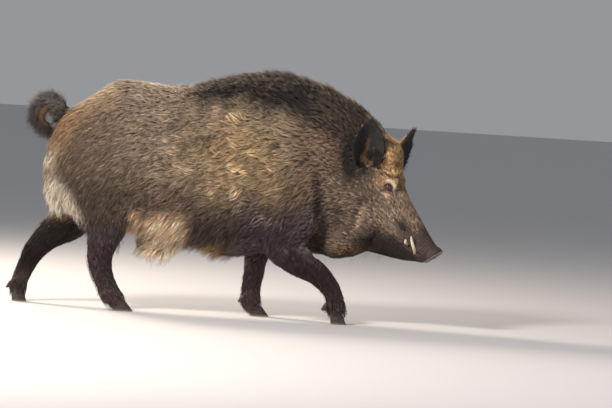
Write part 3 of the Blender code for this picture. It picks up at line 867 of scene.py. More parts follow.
def thin_body(skin, labels, faces):
    """Thins the skin away from the head and ears, where the coat hides it."""
    fine = on_parts(labels, *HEAD, *EARS)
    group = skin.vertex_groups.new(name="body")
    group.add(np.flatnonzero(fine == 0.0).tolist(), 1.0, "REPLACE")
    thin = skin.modifiers.new("Thin", "DECIMATE")
    thin.ratio = min(1.0, faces / (2.0 * len(skin.data.polygons)))
    thin.vertex_group = group.name
    thin.use_collapse_triangulate = True
    settle(skin)
    skin.vertex_groups.clear()


def hair_fields(points, normals, labels, edges):
    """Coat depth, tuft length and tuft width at each point of the skin."""
    rows = []
    for name in FLESH:
        kind = name if name in HAIR else next(word for word in name.split("_") if word in HAIR)
        rows.append(HAIR[kind])
    hair = np.array(rows)[labels]
    x, _, z = points.T
    forward, _, up = head_axes(points).T
    face = on_parts(labels, *HEAD)
    body = on_parts(labels, "trunk", "neck")

    def become(mask, depth, length, width):
        """Changes the coat to these sizes where the mask says."""
        nonlocal hair
        hair = blend(hair, np.array((depth, length, width)), np.clip(mask, 0.0, 1.0))

    above = body * ramp(x, -0.10, 0.05) * ramp(z, 0.76, 0.86) * ramp(normals[:, 2], 0.2, 0.7)
    belly = body * ramp(normals[:, 2], -0.45, -0.8) * band(x, -0.50, -0.42, 0.02, 0.10)
    become(above, 0.024, 0.044, 0.0022)
    become(body * ramp(x, -0.30, -0.45), 0.014, 0.033, 0.0030)
    become(belly, 0.040, 0.058, 0.0034)
    become(body * ramp(x, 0.30, 0.38) * ramp(z, 0.38, 0.32), 0.026, 0.048, 0.0034)
    become(face * ramp(forward, 0.12, 0.02) * ramp(up, -0.02, -0.08), 0.010, 0.024, 0.0021)
    become(face * ramp(up, 0.06, 0.10) * ramp(forward, 0.16, 0.06), 0.009, 0.019, 0.0020)
    become(face * ramp(forward, 0.14, 0.20), 0.0035, 0.010, 0.0017)
    become(face * ramp(forward, 0.24, 0.32), 0.0014, 0.0045, 0.0012)
    become(face * ramp(np.linalg.norm(by_eye(points), axis=1), 0.045, 0.026), 0.0016, 0.0075, 0.0012)
    return relaxed(hair, edges, 0.5, 14)


def way_of_leg(leg):
    """Directions down the upper and the lower length of a leg."""
    upper, lower, hoof = middle(leg + "_upper"), middle(leg + "_lower"), middle(leg + "_hoof_outer")
    hoof.y = lower.y
    return np.array((lower - upper).normalized()), np.array((hoof - lower).normalized())


def along_line(points, line):
    """How far along a line of points each place lies, 0 to 1, and the line's direction there."""
    line = np.array([centred(point) for point in line])
    starts, steps = line[:-1], np.diff(line, axis=0)
    best = np.full(len(points), 9.0)
    share = np.zeros(len(points))
    ways = np.zeros((len(points), 3))
    for index, (start, step) in enumerate(zip(starts, steps)):
        t = np.clip((points - start) @ step / (step @ step), 0.0, 1.0)
        away = np.linalg.norm(points - start - t[:, None] * step, axis=1)
        near = away < best
        best[near] = away[near]
        share[near] = (index + t[near]) / len(steps)
        ways[near] = step / np.linalg.norm(step)
    return share, ways


def flat_on(ways, normals):
    """Directions laid flat on the surface that has these normals."""
    return unit(ways - (ways * normals).sum(1, keepdims=True) * normals)


def lie_of_coat(points, normals, labels, edges):
    """Direction in which the hair lies at each point of the skin, along the surface."""
    x, y, z = points.T
    forward, _, up = head_axes(points).T
    outward = np.where(y > 0.0, 1.0, -1.0)
    way = np.tile(np.array((-1.0, 0.0, -0.22)), (len(points), 1))

    def turn(mask, direction):
        """Turns the hair towards a direction where the mask says."""
        nonlocal way
        way = blend(way, np.array(direction), np.clip(mask, 0.0, 1.0))

    turn(ramp(x, -0.18, -0.46), (-0.80, 0.0, -0.60))
    turn(ramp(x, -0.45, -0.66) * ramp(z, 0.82, 0.66), (-0.50, 0.0, -0.86))
    turn(ramp(z, 0.50, 0.34) * ramp(x, -0.40, -0.48), (-0.35, 0.0, -0.93))
    turn(ramp(x, 0.00, 0.14) * ramp(z, 0.60, 0.44), (-0.62, 0.0, -0.78))
    turn(ramp(x, 0.02, 0.20) * ramp(z, 0.80, 0.88), (-0.90, 0.0, 0.42))
    turn(ramp(x, 0.26, 0.40) * ramp(z, 0.66, 0.76), (-0.72, 0.0, 0.66))
    turn(ramp(normals[:, 2], -0.35, -0.75) * ramp(x, -0.50, -0.42), (-0.75, 0.0, -0.66))
    turn(ramp(x, 0.28, 0.38) * ramp(z, 0.38, 0.30), (-0.8, 0.0, -0.6))
    face = on_parts(labels, *HEAD)
    turn(face, HEAD_TURN @ Vector((-1.0, 0.0, 0.12)))
    turn(face * ramp(forward, 0.20, 0.08) * ramp(up, 0.02, -0.06), (-0.97, 0.10, 0.18))
    turn(face * ramp(forward, 0.08, -0.02) * ramp(up, -0.08, -0.16), (-0.92, 0.08, -0.36))
    turn(face * ramp(forward, 0.02, -0.05) * ramp(up, 0.10, 0.05), (-0.92, 0.05, 0.10))
    for leg in LEGS:
        down, foot = way_of_leg(leg)
        turn(on_parts(labels, leg + "_upper"), down + np.array((-0.25, 0.0, 0.0)))
        turn(on_parts(labels, leg + "_lower"), foot + np.array((-0.10, 0.0, 0.0)))
    for name, (_, up_ear, _) in EARS.items():
        turn(on_parts(labels, name), up_ear)
    _, along_tail = along_line(points, TAIL_LINE)
    way[labels == PART["tail"]] = along_tail[labels == PART["tail"]]
    way = way + outward[:, None] * np.array((0.0, 0.05, 0.0))
    return flat_on(relaxed(flat_on(way, normals), edges, 0.5, 16), normals)


def sculpt_head(points, normals, labels):
    """Brow, orbit, folds, lips, mouth line and wrinkles, pushed along the skin's normals."""
    forward, left, up = head_axes(points).T
    side = np.abs(left)
    mirrored = np.stack((forward, side, up), 1)
    ahead, above, _ = by_eye(points).T
    near_eye = ramp(np.hypot(ahead, above), 0.060, 0.040) * (side > 0.03)
    arch = 0.025 - 6.0 * np.clip(np.abs(ahead) - 0.008, 0.0, 0.06) ** 2
    push = np.zeros(len(points))
    folds = (             # rise, place over the eye, its middle and width, and where the fold runs out
        (0.0036, above - arch, 0.009, 0.0070, 0.034, 0.020),
        (-0.0030, above - arch, 0.0, 0.0032, 0.030, 0.018),
        (0.0022, above, -0.0165, 0.0042, 0.024, 0.014),
        (-0.0022, above, -0.0235, 0.0036, 0.026, 0.016),
    )
    for rise, place, centre, width, end, full in folds:
        push += rise * near_eye * bell(place, centre, width) * ramp(np.abs(ahead), end, full)
    by_lids = np.stack((ahead, above, side), 1)
    muzzle = band(forward, 0.275, 0.315, 0.350, 0.362) * ramp(up, -0.05, -0.02)
    # the front corner of the eye, the cheekbone, the muzzle's wrinkles and the edge of the nostril
    push -= 0.0040 * spot(by_lids, (0.021, -0.008, 0.06), (0.008, 0.006, 0.05))
    push += 0.0035 * spot(mirrored, (0.105, 0.080, -0.012), (0.060, 0.03, 0.014))
    push += 0.0009 * muzzle * np.sin((forward + 0.12 * up) * (2.0 * math.pi / WRINKLE))
    push += 0.0020 * spot(mirrored, (0.350, 0.034, 0.006), (0.014, 0.02, 0.016))
    height = mouth_height(points)
    along = band(forward, 0.185, 0.225, 0.352, 0.368)
    lips = ((-0.0050, 0.0, 0.0026), (0.0022, 0.0085, 0.0048), (0.0016, -0.0080, 0.0045))
    for rise, centre, width in lips:
        push += rise * along * bell(height, centre, width)
    return set_in_eyes(points + normals * (push * on_parts(labels, *HEAD))[:, None], side)


def set_in_eyes(points, side):
    """Draws the skin down round the eyeballs: behind them inside the lids, on to them at the edge."""
    ahead, above, out = by_eye(points).T
    beyond = almond(ahead, above)
    reach = np.minimum(np.hypot(ahead, above), 0.93 * EYE_RADIUS)
    ball = np.sqrt(EYE_RADIUS ** 2 - reach ** 2)
    target = ball - 0.0020 + 0.0020 * ramp(beyond, 1.3, 2.0)
    share = ramp(np.hypot(ahead / (1.9 * OPENING[0]), above / (2.3 * OPENING[1])), 1.0, 0.42)
    share = np.where(beyond < 1.0, 1.0, share) * (side > 0.03) * (out > -0.004) * (out < 0.03)
    moved = np.stack((ahead, above, out + (target - out) * share), 1)
    placed = points.copy()
    left = head_axes(points)[:, 1]
    for sign in (1, -1):
        centre, axes = eye_axes(sign)
        mine = (left * sign > 0) & (share > 0)
        placed[mine] = moved[mine] @ np.array(axes).T + np.array(centre)
    return placed


def mouth_height(points):
    """Height of each point over the plane in which the lips meet."""
    turn = Matrix.Rotation(HEAD_SWING, 3, "Z") @ Matrix.Rotation(HEAD_PITCH + MOUTH_RISE, 3, "Y")
    return (points - np.array(HEAD_ORIGIN + MOUTH_CORNER)) @ np.array(turn @ Vector((0.0, 0.0, 1.0)))


def finer_face(mesh):
    """Subdivides the skin once over the muzzle and round the eyes."""
    work = bmesh.new()
    work.from_mesh(mesh)
    starts = np.array([edge.verts[0].co for edge in work.edges])
    forward, left, _ = head_axes(starts).T
    ahead, above, _ = by_eye(starts).T
    near_eye = (np.hypot(ahead, above) < 0.040) & (np.abs(left) > 0.03) & (np.abs(left) < 0.12)
    lips = (np.abs(mouth_height(starts)) < 0.014) & (forward > 0.15)
    chosen = (forward > 0.262) | near_eye | lips
    edges = [edge for edge, take in zip(list(work.edges), chosen) if take]
    bmesh.ops.subdivide_edges(work, edges=edges, cuts=1, use_grid_fill=True)
    bmesh.ops.triangulate(work, faces=[face for face in work.faces if len(face.verts) > 3])
    work.to_mesh(mesh)
    work.free()


# ---------------------------------------------------------------- materials
def node_group(name, inputs, outputs, build):
    """A shader node group with named sockets, filled by build."""
    group = bpy.data.node_groups.new(name, "ShaderNodeTree")
    for label, kind, default in inputs:
        socket = group.interface.new_socket(name=label, in_out="INPUT", socket_type=kind)
        if default is not None:
            socket.default_value = default
    for label, kind in outputs:
        group.interface.new_socket(name=label, in_out="OUTPUT", socket_type=kind)
    way_in = group.nodes.new("NodeGroupInput")
    way_out = group.nodes.new("NodeGroupOutput")
    build(group, way_in.outputs, way_out.inputs)
    return group


def add(tree, kind, links=None, **values):
    """Adds a node, sets its properties and sockets, and links what feeds it."""
    node = tree.nodes.new(kind)
    for name, value in values.items():
        if name in node.inputs:
            node.inputs[name].default_value = value
        else:
            setattr(node, name, value)
    for name, source in (links or {}).items():
        tree.links.new(source, node.inputs[name])
    return node


def math_node(tree, operation, first, second):
    """A maths node on two values, each a socket or a number."""
    node = tree.nodes.new("ShaderNodeMath")
    node.operation = operation
    for socket, value in zip(node.inputs, (first, second)):
        if isinstance(value, (int, float)):
            socket.default_value = value
        else:
            tree.links.new(value, socket)
    return node.outputs[0]


def mix(tree, share, first, second, blend="MIX"):
    """A colour mix of two colours, each a socket or a colour."""
    node = tree.nodes.new("ShaderNodeMix")
    node.data_type = "RGBA"
    node.blend_type = blend
    for socket, value in zip((node.inputs[0], node.inputs[6], node.inputs[7]), (share, first, second)):
        if isinstance(value, (int, float)):
            socket.default_value = value
        elif isinstance(value, tuple):
            socket.default_value = value + (1.0,) * (4 - len(value))
        else:
            tree.links.new(value, socket)
    return node.outputs[2]


def stretched(tree, value, low, high):
    """The part of a value between low and high, stretched to 0 to 1."""
    node = add(tree, "ShaderNodeMapRange", {"Value": value}, **{"From Min": low, "From Max": high})
    return node.outputs[0]


def build_bristles(group, ways, outs):
    """Fine streaks: light and dark along the hair, with a height for the bump."""
    place = add(group, "ShaderNodeMapping", {"Vector": ways["Place"], "Scale": ways["Scale"]})
    fine = add(group, "ShaderNodeTexNoise", {"Vector": place.outputs[0]}, Scale=1.0, Detail=3.0,
               Roughness=0.65)
    broad = add(group, "ShaderNodeTexNoise", {"Vector": place.outputs[0]}, Scale=0.31, Detail=1.0)
    both = math_node(group, "ADD", math_node(group, "MULTIPLY", fine.outputs[0], 0.65),
                     math_node(group, "MULTIPLY", broad.outputs[0], 0.35))
    spread = stretched(group, both, 0.34, 0.66)
    dark = mix(group, 1.0, ways["Colour"], ways["Dark"], "MULTIPLY")
    light = mix(group, 1.0, ways["Colour"], ways["Light"], "MULTIPLY")
    group.links.new(mix(group, spread, dark, light), outs["Colour"])
    group.links.new(spread, outs["Height"])


def build_mottle(group, ways, outs):
    """Soft patches and specks over a plain colour, with a height for the bump."""
    broad = add(group, "ShaderNodeTexNoise", {"Vector": ways["Place"], "Scale": ways["Scale"]}, Detail=5.0,
                Roughness=0.6)
    cells = add(group, "ShaderNodeTexVoronoi", {"Vector": ways["Place"]}, feature="F1")
    group.links.new(math_node(group, "MULTIPLY", ways["Scale"], 6.0), cells.inputs["Scale"])
    spread = stretched(group, broad.outputs[0], 0.36, 0.64)
    group.links.new(mix(group, spread, ways["First"], ways["Second"]), outs["Colour"])
    both = math_node(group, "ADD", math_node(group, "MULTIPLY", broad.outputs[0], 0.5),
                     math_node(group, "MULTIPLY", cells.outputs["Distance"], 0.5))
    group.links.new(both, outs["Height"])


def shared_group(name):
    """One of the effects that several materials use, built the first time it is asked for."""
    if name in bpy.data.node_groups:
        return bpy.data.node_groups[name]
    vector, tint, number = "NodeSocketVector", "NodeSocketColor", "NodeSocketFloat"
    white = (1.0, 1.0, 1.0, 1.0)
    if name == "Bristles":
        inputs = (("Place", vector, None), ("Scale", vector, (1.0, 1.0, 1.0)), ("Colour", tint, white),
                  ("Dark", tint, white), ("Light", tint, white))
        return node_group(name, inputs, (("Colour", tint), ("Height", number)), build_bristles)
    inputs = (("Place", vector, None), ("Scale", number, 100.0), ("First", tint, white),
              ("Second", tint, white))
    return node_group(name, inputs, (("Colour", tint), ("Height", number)), build_mottle)


def material(name, roughness, specular=0.5):
    """A material and its Principled node."""
    look = bpy.data.materials.new(name)
    look.use_nodes = True
    shader = look.node_tree.nodes["Principled BSDF"]
    shader.inputs["Roughness"].default_value = roughness
    shader.inputs["Specular IOR Level"].default_value = specular
    return look, look.node_tree, shader


def grey(value):
    """A plain multiplier as a colour."""
    return (value, value, value, 1.0)


def bump(tree, shader, height, strength, distance):
    """Feeds a height into the shader's normal."""
    node = add(tree, "ShaderNodeBump", {"Height": height}, Strength=strength, Distance=distance)
    tree.links.new(node.outputs[0], shader.inputs["Normal"])


def streaked(tree, shader, place, scale, tones, strength, distance):
    """Colours a shader by the stored marking, in streaks between two tones along the hair."""
    stored = add(tree, "ShaderNodeAttribute", attribute_name="Marking")
    streaks = add(tree, "ShaderNodeGroup", node_tree=shared_group("Bristles"))
    for name, value in (("Scale", scale), ("Dark", grey(tones[0])), ("Light", grey(tones[1]))):
        streaks.inputs[name].default_value = value
    tree.links.new(place, streaks.inputs["Place"])
    tree.links.new(stored.outputs["Color"], streaks.inputs["Colour"])
    tree.links.new(streaks.outputs["Colour"], shader.inputs["Base Color"])
    bump(tree, shader, streaks.outputs["Height"], strength, distance)


def skin_look():
    """Hide under the coat, and the short flat hair of the face as streaks and bump."""
    look, tree, shader = material("boar skin and short hair", 0.62, 0.3)
    place = add(tree, "ShaderNodeTexCoord")
    turned = add(tree, "ShaderNodeMapping", {"Vector": place.outputs["Object"]}, vector_type="POINT")
    turned.inputs["Rotation"].default_value = (0.0, HEAD_PITCH, -HEAD_SWING)
    streaked(tree, shader, turned.outputs[0], (150.0, 900.0, 900.0), (0.55, 1.35), 0.5, 0.0012)
    return look


def coat_look():
    """Bristle tufts: the stored marking, split into fine strands along each tuft."""
    if "boar coat" in bpy.data.materials:
        return bpy.data.materials["boar coat"]
    look, tree, shader = material("boar coat", 0.52, 0.28)
    strand = add(tree, "ShaderNodeUVMap", uv_map="Strands")
    streaked(tree, shader, strand.outputs[0], (9.0, 1.4, 1.0), (0.62, 1.30), 0.35, 0.0008)
    return look


def mottled_look(name, first, second, scale, roughness, strength, distance, specular=0.5):
    """A mottled surface such as horn, ivory or wet skin."""
    look, tree, shader = material(name, roughness, specular)
    place = add(tree, "ShaderNodeTexCoord")
    mottle = add(tree, "ShaderNodeGroup", node_tree=shared_group("Mottle"))
    mottle.inputs["Scale"].default_value = scale
    mottle.inputs["First"].default_value = tuple(first) + (1.0,)
    mottle.inputs["Second"].default_value = tuple(second) + (1.0,)
    tree.links.new(place.outputs["Object"], mottle.inputs["Place"])
    tree.links.new(mottle.outputs["Colour"], shader.inputs["Base Color"])
    bump(tree, shader, mottle.outputs["Height"], strength, distance)
    return look, tree, shader, mottle


def painted_look(name, scale, roughness, strength, distance, specular=0.5):
    """A mottled surface whose colour is stored on the piece."""
    look, tree, shader, mottle = mottled_look(
        name, (0.80, 0.80, 0.80), (1.15, 1.15, 1.15), scale, roughness, strength, distance, specular
    )
    stored = add(tree, "ShaderNodeAttribute", attribute_name="Marking")
    tinted = mix(tree, 1.0, stored.outputs["Color"], mottle.outputs["Colour"], "MULTIPLY")
    tree.links.new(tinted, shader.inputs["Base Color"])
    return look, shader


# ---------------------------------------------------------------- the coat
# Corners of a tuft: across, along, ridge. A bent tuft has a section half way up, a spike has not
BENT_CORNERS = ((-1, 0, 0), (1, 0, 0), (0, 0, 1), (-0.85, 1, 0), (0.85, 1, 0), (0, 1, 1), (0, 2, 0))
BENT_FACES = ((0, 2, 1), (0, 1, 4), (0, 4, 3), (1, 2, 5), (1, 5, 4), (2, 0, 3), (2, 3, 5),
              (3, 4, 6), (4, 5, 6), (5, 3, 6))
SPIKE_CORNERS = ((-1, 0, 0), (1, 0, 0), (0, 0, 1), (0, 2, 0))
SPIKE_FACES = ((0, 2, 1), (0, 1, 3), (1, 2, 3), (2, 0, 3))
ROOT_SINK = 0.0012        # how far a tuft's root is set into the skin
LOWEST = 0.004            # lowest that a tip hangs over the floor
PATCH = 0.003             # size of a tuft's patch on the OFBake map
MAP_EDGE = 0.01           # margin round each row of that map
RIDGE = 0.34              # height of a tuft's ridge, as a share of its width
TWIST = 0.35              # how far tufts are turned about their length
# Least and most that a lock stands up, and that a tuft is long, wide and stands up
LOCK_LIFTS = (0.75, 1.12)
TUFT_LENGTHS = (0.72, 1.18)
TUFT_WIDTHS = (0.7, 1.25)
TUFT_LIFTS = (0.62, 1.15)
TIP_HUE = np.array(shade(212, 196, 176))        # the pale colour that the tips fade to
TONE_SPREAD = 0.30        # how much tufts differ in tone within a lock
# Tufts in each of the smaller pieces
TUFTS = {
    "locks": 4000, "whiskers": 220, "lashes": 260, "fetlocks": 4200, "tail": 6500,
    "ear": 4500, "ear_rim": 1800, "crest": 5000, "belly": 4600,
}


class Growth:
    """How one piece of the coat grows; the values named first are the usual ones."""

    box = None        # corners of the box that holds the roots
    bent = False      # whether a tuft has a bend half way up
    wave = 0.16       # how far broad swirls turn the hair, in radians
    clump = 7         # tufts to a lock
    gather = 0.6      # how far the tips of a lock draw together
    stand = 0.72      # height of the tips, as a share of the coat's depth
    free = None       # angle at which hair stands out from the skin, in radians; it lies down without
    droop = 0.0       # how far the tips of free hair hang, as a share of its length
    ruffle = 0.16     # how much locks turn about, in radians
    contrast = 0.20   # how much locks differ in tone
    tips = 0.0        # how much paler the tips are than elsewhere
    weight = None     # density over the skin, worked out from places and normals
    longer = 1.0      # length and width against the skin's own values
    wider = 1.0
    slot = "coat"

    def __init__(self, name, parts, count, seed, **choices):
        self.name, self.parts, self.count, self.seed = name, parts, count, seed
        for choice, value in choices.items():
            setattr(self, choice, value)


def sample_roots(hide, growth, draw):
    """Random places over the skin of some parts: triangle of each root and its weights."""
    faces = hide.triangles
    centres = hide.points[faces].mean(1)
    labels = hide.labels[faces[:, 0]]
    area = np.linalg.norm(np.cross(hide.points[faces[:, 1]] - hide.points[faces[:, 0]],
                                   hide.points[faces[:, 2]] - hide.points[faces[:, 0]]), axis=1) / 2
    weight = area * on_parts(labels, *growth.parts)
    if growth.box:
        low, high = np.array(growth.box[0]), np.array(growth.box[1])
        weight = weight * ((centres >= low) & (centres < high)).all(1)
    if growth.weight:
        weight = weight * growth.weight(centres, hide.normals[faces].mean(1))
    share = np.cumsum(weight)
    picks = np.searchsorted(share, draw.uniform(0.0, share[-1], growth.count))
    first, second = draw.uniform(size=(2, growth.count))
    over = first + second > 1.0
    first[over], second[over] = 1.0 - first[over], 1.0 - second[over]
    return picks, np.stack((1.0 - first - second, first, second), 1)


def clumps(roots, size, draw):
    """Gathers roots into locks: the index of each root's leader."""
    leaders = draw.choice(len(roots), max(1, len(roots) // size), replace=False)
    tree = kdtree.KDTree(len(leaders))
    for order, leader in enumerate(leaders):
        tree.insert(roots[leader], order)
    tree.balance()
    return np.array([leaders[tree.find(root)[1]] for root in roots.tolist()])


def turned(ways, normals, angles):
    """Directions turned about the normals."""
    return unit(ways * np.cos(angles)[:, None] + np.cross(normals, ways) * np.sin(angles)[:, None])


def grow(growth):
    """Grows one piece of the coat as a single mesh of tufts."""
    hide = HIDE["skin"]
    coat = bpy.context.scene.boar_coat
    draw = np.random.RandomState(growth.seed)
    picks, shares = sample_roots(hide, growth, draw)
    corners = hide.triangles[picks]

    def at_root(values):
        """What the skin's corners hold, worked out at each root between them."""
        return (values[corners] * shares[:, :, None]).sum(1)

    roots = at_root(hide.points)
    normals = unit(at_root(hide.normals))
    ways = unit(at_root(hide.lie))
    depth, length, width = at_root(hide.hair).T
    labels = hide.labels[corners[:, 0]]
    count = len(roots)
    leader = clumps(roots, growth.clump, draw)
    lock_turn = draw.normal(0.0, growth.ruffle, count)[leader]
    lock_tone = draw.normal(0.0, growth.contrast, count)[leader]
    lock_lift = draw.uniform(*LOCK_LIFTS, count)[leader]
    swirl = wander(roots, 0.11, 11) * growth.wave + wander(roots, 0.035, 12) * growth.wave * 0.6
    ways = turned(ways, normals, swirl + lock_turn + draw.normal(0.0, growth.ruffle * 0.55, count))
    length = length * coat.length * growth.longer * draw.uniform(*TUFT_LENGTHS, count)
    width = width * coat.width * growth.wider * draw.uniform(*TUFT_WIDTHS, count)
    rise = depth * growth.stand * lock_lift * draw.uniform(*TUFT_LIFTS, count)

    if growth.free is None:
        half_way, tip = lying(hide, roots, ways, length, rise)
    else:
        half_way, tip = standing(roots, normals, ways, length, growth, draw)
    gather = growth.gather * draw.uniform(0.5, 1.0, count)[:, None]
    gathered = tip + (tip[leader] - tip) * gather
    near = np.linalg.norm(gathered - tip, axis=1) < 0.6 * length
    tip = np.where(near[:, None], gathered, tip)
    tip[:, 2] = np.maximum(tip[:, 2], LOWEST)
    base = roots - normals * ROOT_SINK
    across = unit(np.cross(ways, normals))
    across = unit(across + normals * draw.normal(0.0, TWIST, count)[:, None])
    ridge = unit(np.cross(across, ways))
    ridge = ridge * np.sign((ridge * normals).sum(1, keepdims=True))

    shape = np.array(BENT_CORNERS if growth.bent else SPIKE_CORNERS, float)
    faces = np.array(BENT_FACES if growth.bent else SPIKE_FACES)
    points = tuft_points(np.stack((base, half_way, tip), 1), across, ridge, width, shape)
    colours = tuft_colours(roots, labels, shape[:, 1] / 2.0, lock_tone, growth.tips, draw)
    maps = tuft_maps(roots, labels, shape, draw)
    tuft_mesh(growth, points, faces, colours, maps)


def tuft_points(line, across, ridge, width, shape):
    """Every corner of every tuft, set out from the tuft's line to its sides and its ridge."""
    points = line[:, shape[:, 1].astype(int)]
    points = points + across[:, None] * (shape[:, 0] * 0.5)[None, :, None] * width[:, None, None]
    return points + ridge[:, None] * (shape[:, 2] * RIDGE)[None, :, None] * width[:, None, None]


def lying(hide, roots, ways, length, rise):
    """Middle and tip of hair that follows the skin, brought back over it on the way."""
    half, half_normal = hide.under(roots + ways * length[:, None] * 0.5)
    onward = flat_on(ways, half_normal)
    end, end_normal = hide.under(half + onward * length[:, None] * 0.5)
    return half + half_normal * (rise * 0.62)[:, None], end + end_normal * rise[:, None]


def standing(roots, normals, ways, length, growth, draw):
    """Middle and tip of hair that stands out free and bends down towards its tip."""
    angle = growth.free * draw.uniform(0.6, 1.35, len(roots))
    stops = []
    for share, extra in ((0.5, 0.14), (1.0, 0.0)):
        rise, run = np.sin(angle + extra), np.cos(angle + extra)
        away = ways * run[:, None] + normals * rise[:, None]
        away[:, 2] -= growth.droop * share * share
        stops.append(roots + away * (length * share)[:, None])
    return stops


def tuft_colours(roots, labels, up, lock_tone, tips, draw):
    """Colours of every corner: dark at the root, the marking's own shaft, and a pale tip."""
    coat = bpy.context.scene.boar_coat
    shaft, pale = markings(roots, labels)
    pale = pale + tips
    tone = np.exp(lock_tone + draw.normal(0.0, TONE_SPREAD, len(roots)))[:, None]
    root = shaft * (0.29 + 0.22 * pale)[:, None]
    tip = 1.12 * blend(shaft, TIP_HUE, 0.42 * pale * coat.grizzle)
    stops = np.stack((root * tone, shaft * tone, tip * tone), 1)
    return stops[:, (up * 2).astype(int)]


def strip(points, start, finish, up):
    """Unwraps points round a straight axis: how far along it, and the angle round it."""
    start, finish = np.array(start), np.array(finish)
    axis = (finish - start) / np.linalg.norm(finish - start)
    side = np.cross(axis, np.array(up))
    side /= np.linalg.norm(side)
    top = np.cross(side, axis)
    offset = points - start
    return np.stack((offset @ axis, np.arctan2(offset @ side, offset @ top)), 1)


def map_group(name):
    """Which row of the map a part's tufts lie in."""
    if name in HEAD:
        return "head"
    return "_".join(name.split("_")[:2]) if "_" in name else "body"


def unwrap(points, labels):
    """Place of each root on an unwrap of the skin's own shape, one row of the map to a group."""
    places = np.zeros((len(points), 2))
    groups = {}
    for label in np.unique(labels):
        groups.setdefault(map_group(FLESH[label]), []).append(label)
    for row, (key, members) in enumerate(sorted(groups.items())):
        mine = np.isin(labels, members)
        name = FLESH[members[0]]
        if key == "head":
            wrapped = head_axes(points[mine])
            wrapped = np.stack((wrapped[:, 0], np.arctan2(wrapped[:, 1], wrapped[:, 2] + 0.04)), 1)
        elif name == "tail":
            share, _ = along_line(points[mine], TAIL_LINE)
            centre = centred(TAIL_MIDDLE)
            wrapped = np.stack((share, np.linalg.norm(points[mine] - centre, axis=1) + points[mine, 1]), 1)
        elif name in EARS:
            base, way, hollow = (np.array(item) for item in EARS[name])
            wrapped = strip(points[mine], centred(base) - hollow * 0.02, centred(base) + way * 0.2, hollow)
        elif key == "body":
            wrapped = strip(points[mine], (-1.0, 0.0, 0.56), (1.0, 0.0, 0.56), (0.0, 0.0, 1.0))
        else:
            leg = name.rsplit("_", 1)[0]
            wrapped = strip(points[mine], middle(leg + "_upper"), middle(leg + "_lower"), (1.0, 0.0, 0.0))
        low, high = wrapped.min(0), wrapped.max(0)
        wrapped = (wrapped - low) / np.maximum(high - low, 1e-6)
        wrapped = MAP_EDGE + (1.0 - 2.0 * MAP_EDGE) * wrapped
        places[mine, 0] = wrapped[:, 0]
        places[mine, 1] = (row + wrapped[:, 1]) / len(groups)
    return places


def tuft_maps(roots, labels, shape, draw):
    """Two maps for every corner: the tuft's patch on the OFBake map, and the strands."""
    places = unwrap(roots, labels)
    across = shape[:, 0] * 0.5 + 0.5
    up = shape[:, 1] * 0.5
    offset = np.stack((across + 0.02 * shape[:, 2], up * 0.94 + 0.05 * shape[:, 2]), 1) - 0.5
    patch = places[:, None] + offset[None] * PATCH
    strands = np.stack((across, up), 1)[None] + draw.uniform(0.0, 40.0, (len(roots), 1, 2))
    return patch, strands


def tuft_mesh(growth, points, faces, colours, maps):
    """Writes joined tufts as one mesh object."""
    count, corners = points.shape[:2]
    rows = (faces[None] + (np.arange(count) * corners)[:, None, None]).reshape(-1, 3)
    mesh = bpy.data.meshes.new(growth.name)
    mesh.vertices.add(count * corners)
    mesh.vertices.foreach_set("co", points.astype(np.float32).ravel())
    mesh.loops.add(rows.size)
    mesh.loops.foreach_set("vertex_index", rows.astype(np.int32).ravel())
    mesh.polygons.add(len(rows))
    mesh.polygons.foreach_set("loop_start", np.arange(0, rows.size, 3, dtype=np.int32))
    mesh.update(calc_edges=True)
    for name, values in zip(("OFBake", "Strands"), maps):
        layer = mesh.uv_layers.new(name=name)
        layer.data.foreach_set("uv", values.reshape(-1, 2)[rows.ravel()].astype(np.float32).ravel())
    paint(mesh, "Marking", colours.reshape(-1, 3))
    mesh.shade_smooth()
    mesh.materials.append(coat_look())
    stands_for(linked(growth.name, mesh), growth.slot)


# ---------------------------------------------------------------- operators
SHOWN_SKIN = 0.72         # tone of the skin against the coat's: on head and ears, and elsewhere
HIDDEN_SKIN = 0.40
HOOF_RING = 0.0052        # from one growth ring of a hoof to the next


class BOAR_OT_skin(bpy.types.Operator):
    """One skin for all the flesh, inside it by the coat's depth."""

    bl_idname = "boar.skin"
    bl_label = "Skin"

    def execute(self, context):
        settings = context.scene.boar_skin
        skin = melted_flesh(settings.cell)
        largest_body(skin.data)
        labels = fair_skin(skin.data, settings.rounds)
        thin_body(skin, labels, settings.faces)
        mesh = skin.data
        finer_face(mesh)
        points = vertex_places(mesh)
        normals = vertex_normals(mesh)
        edges = edge_ends(mesh)
        labels = nearest_parts(points)
        hair = hair_fields(points, normals, labels, edges)
        points = sculpt_head(points - normals * hair[:, :1], normals, labels)
        write_points(mesh, points)
        normals = vertex_normals(mesh)
        lie = lie_of_coat(points, normals, labels, edges)
        colours, _ = markings(points, labels)
        shown = on_parts(labels, *HEAD, *EARS)
        paint(mesh, "Marking", colours * np.where(shown, SHOWN_SKIN, HIDDEN_SKIN)[:, None])
        mesh.shade_smooth()
        mesh.materials.append(skin_look())
        HIDE["skin"] = Hide(mesh, labels, hair, lie)
        stands_for(skin, "coat", *FLESH)
        return {"FINISHED"}


def side_box(low, high, side):
    """A box over one side of the body between two places along it."""
    return ((low, 0.0 if side == "left" else -1.0, -1.0), (high, 1.0 if side == "left" else 0.0, 2.0))


def on_flanks(centres, normals):
    """Density of the long locks: on the steep sides of the body."""
    steep = 1.0 - np.abs(normals[:, 2])
    return steep * ramp(centres[:, 2], 0.34, 0.46) * ramp(centres[:, 0], -0.36, -0.20)


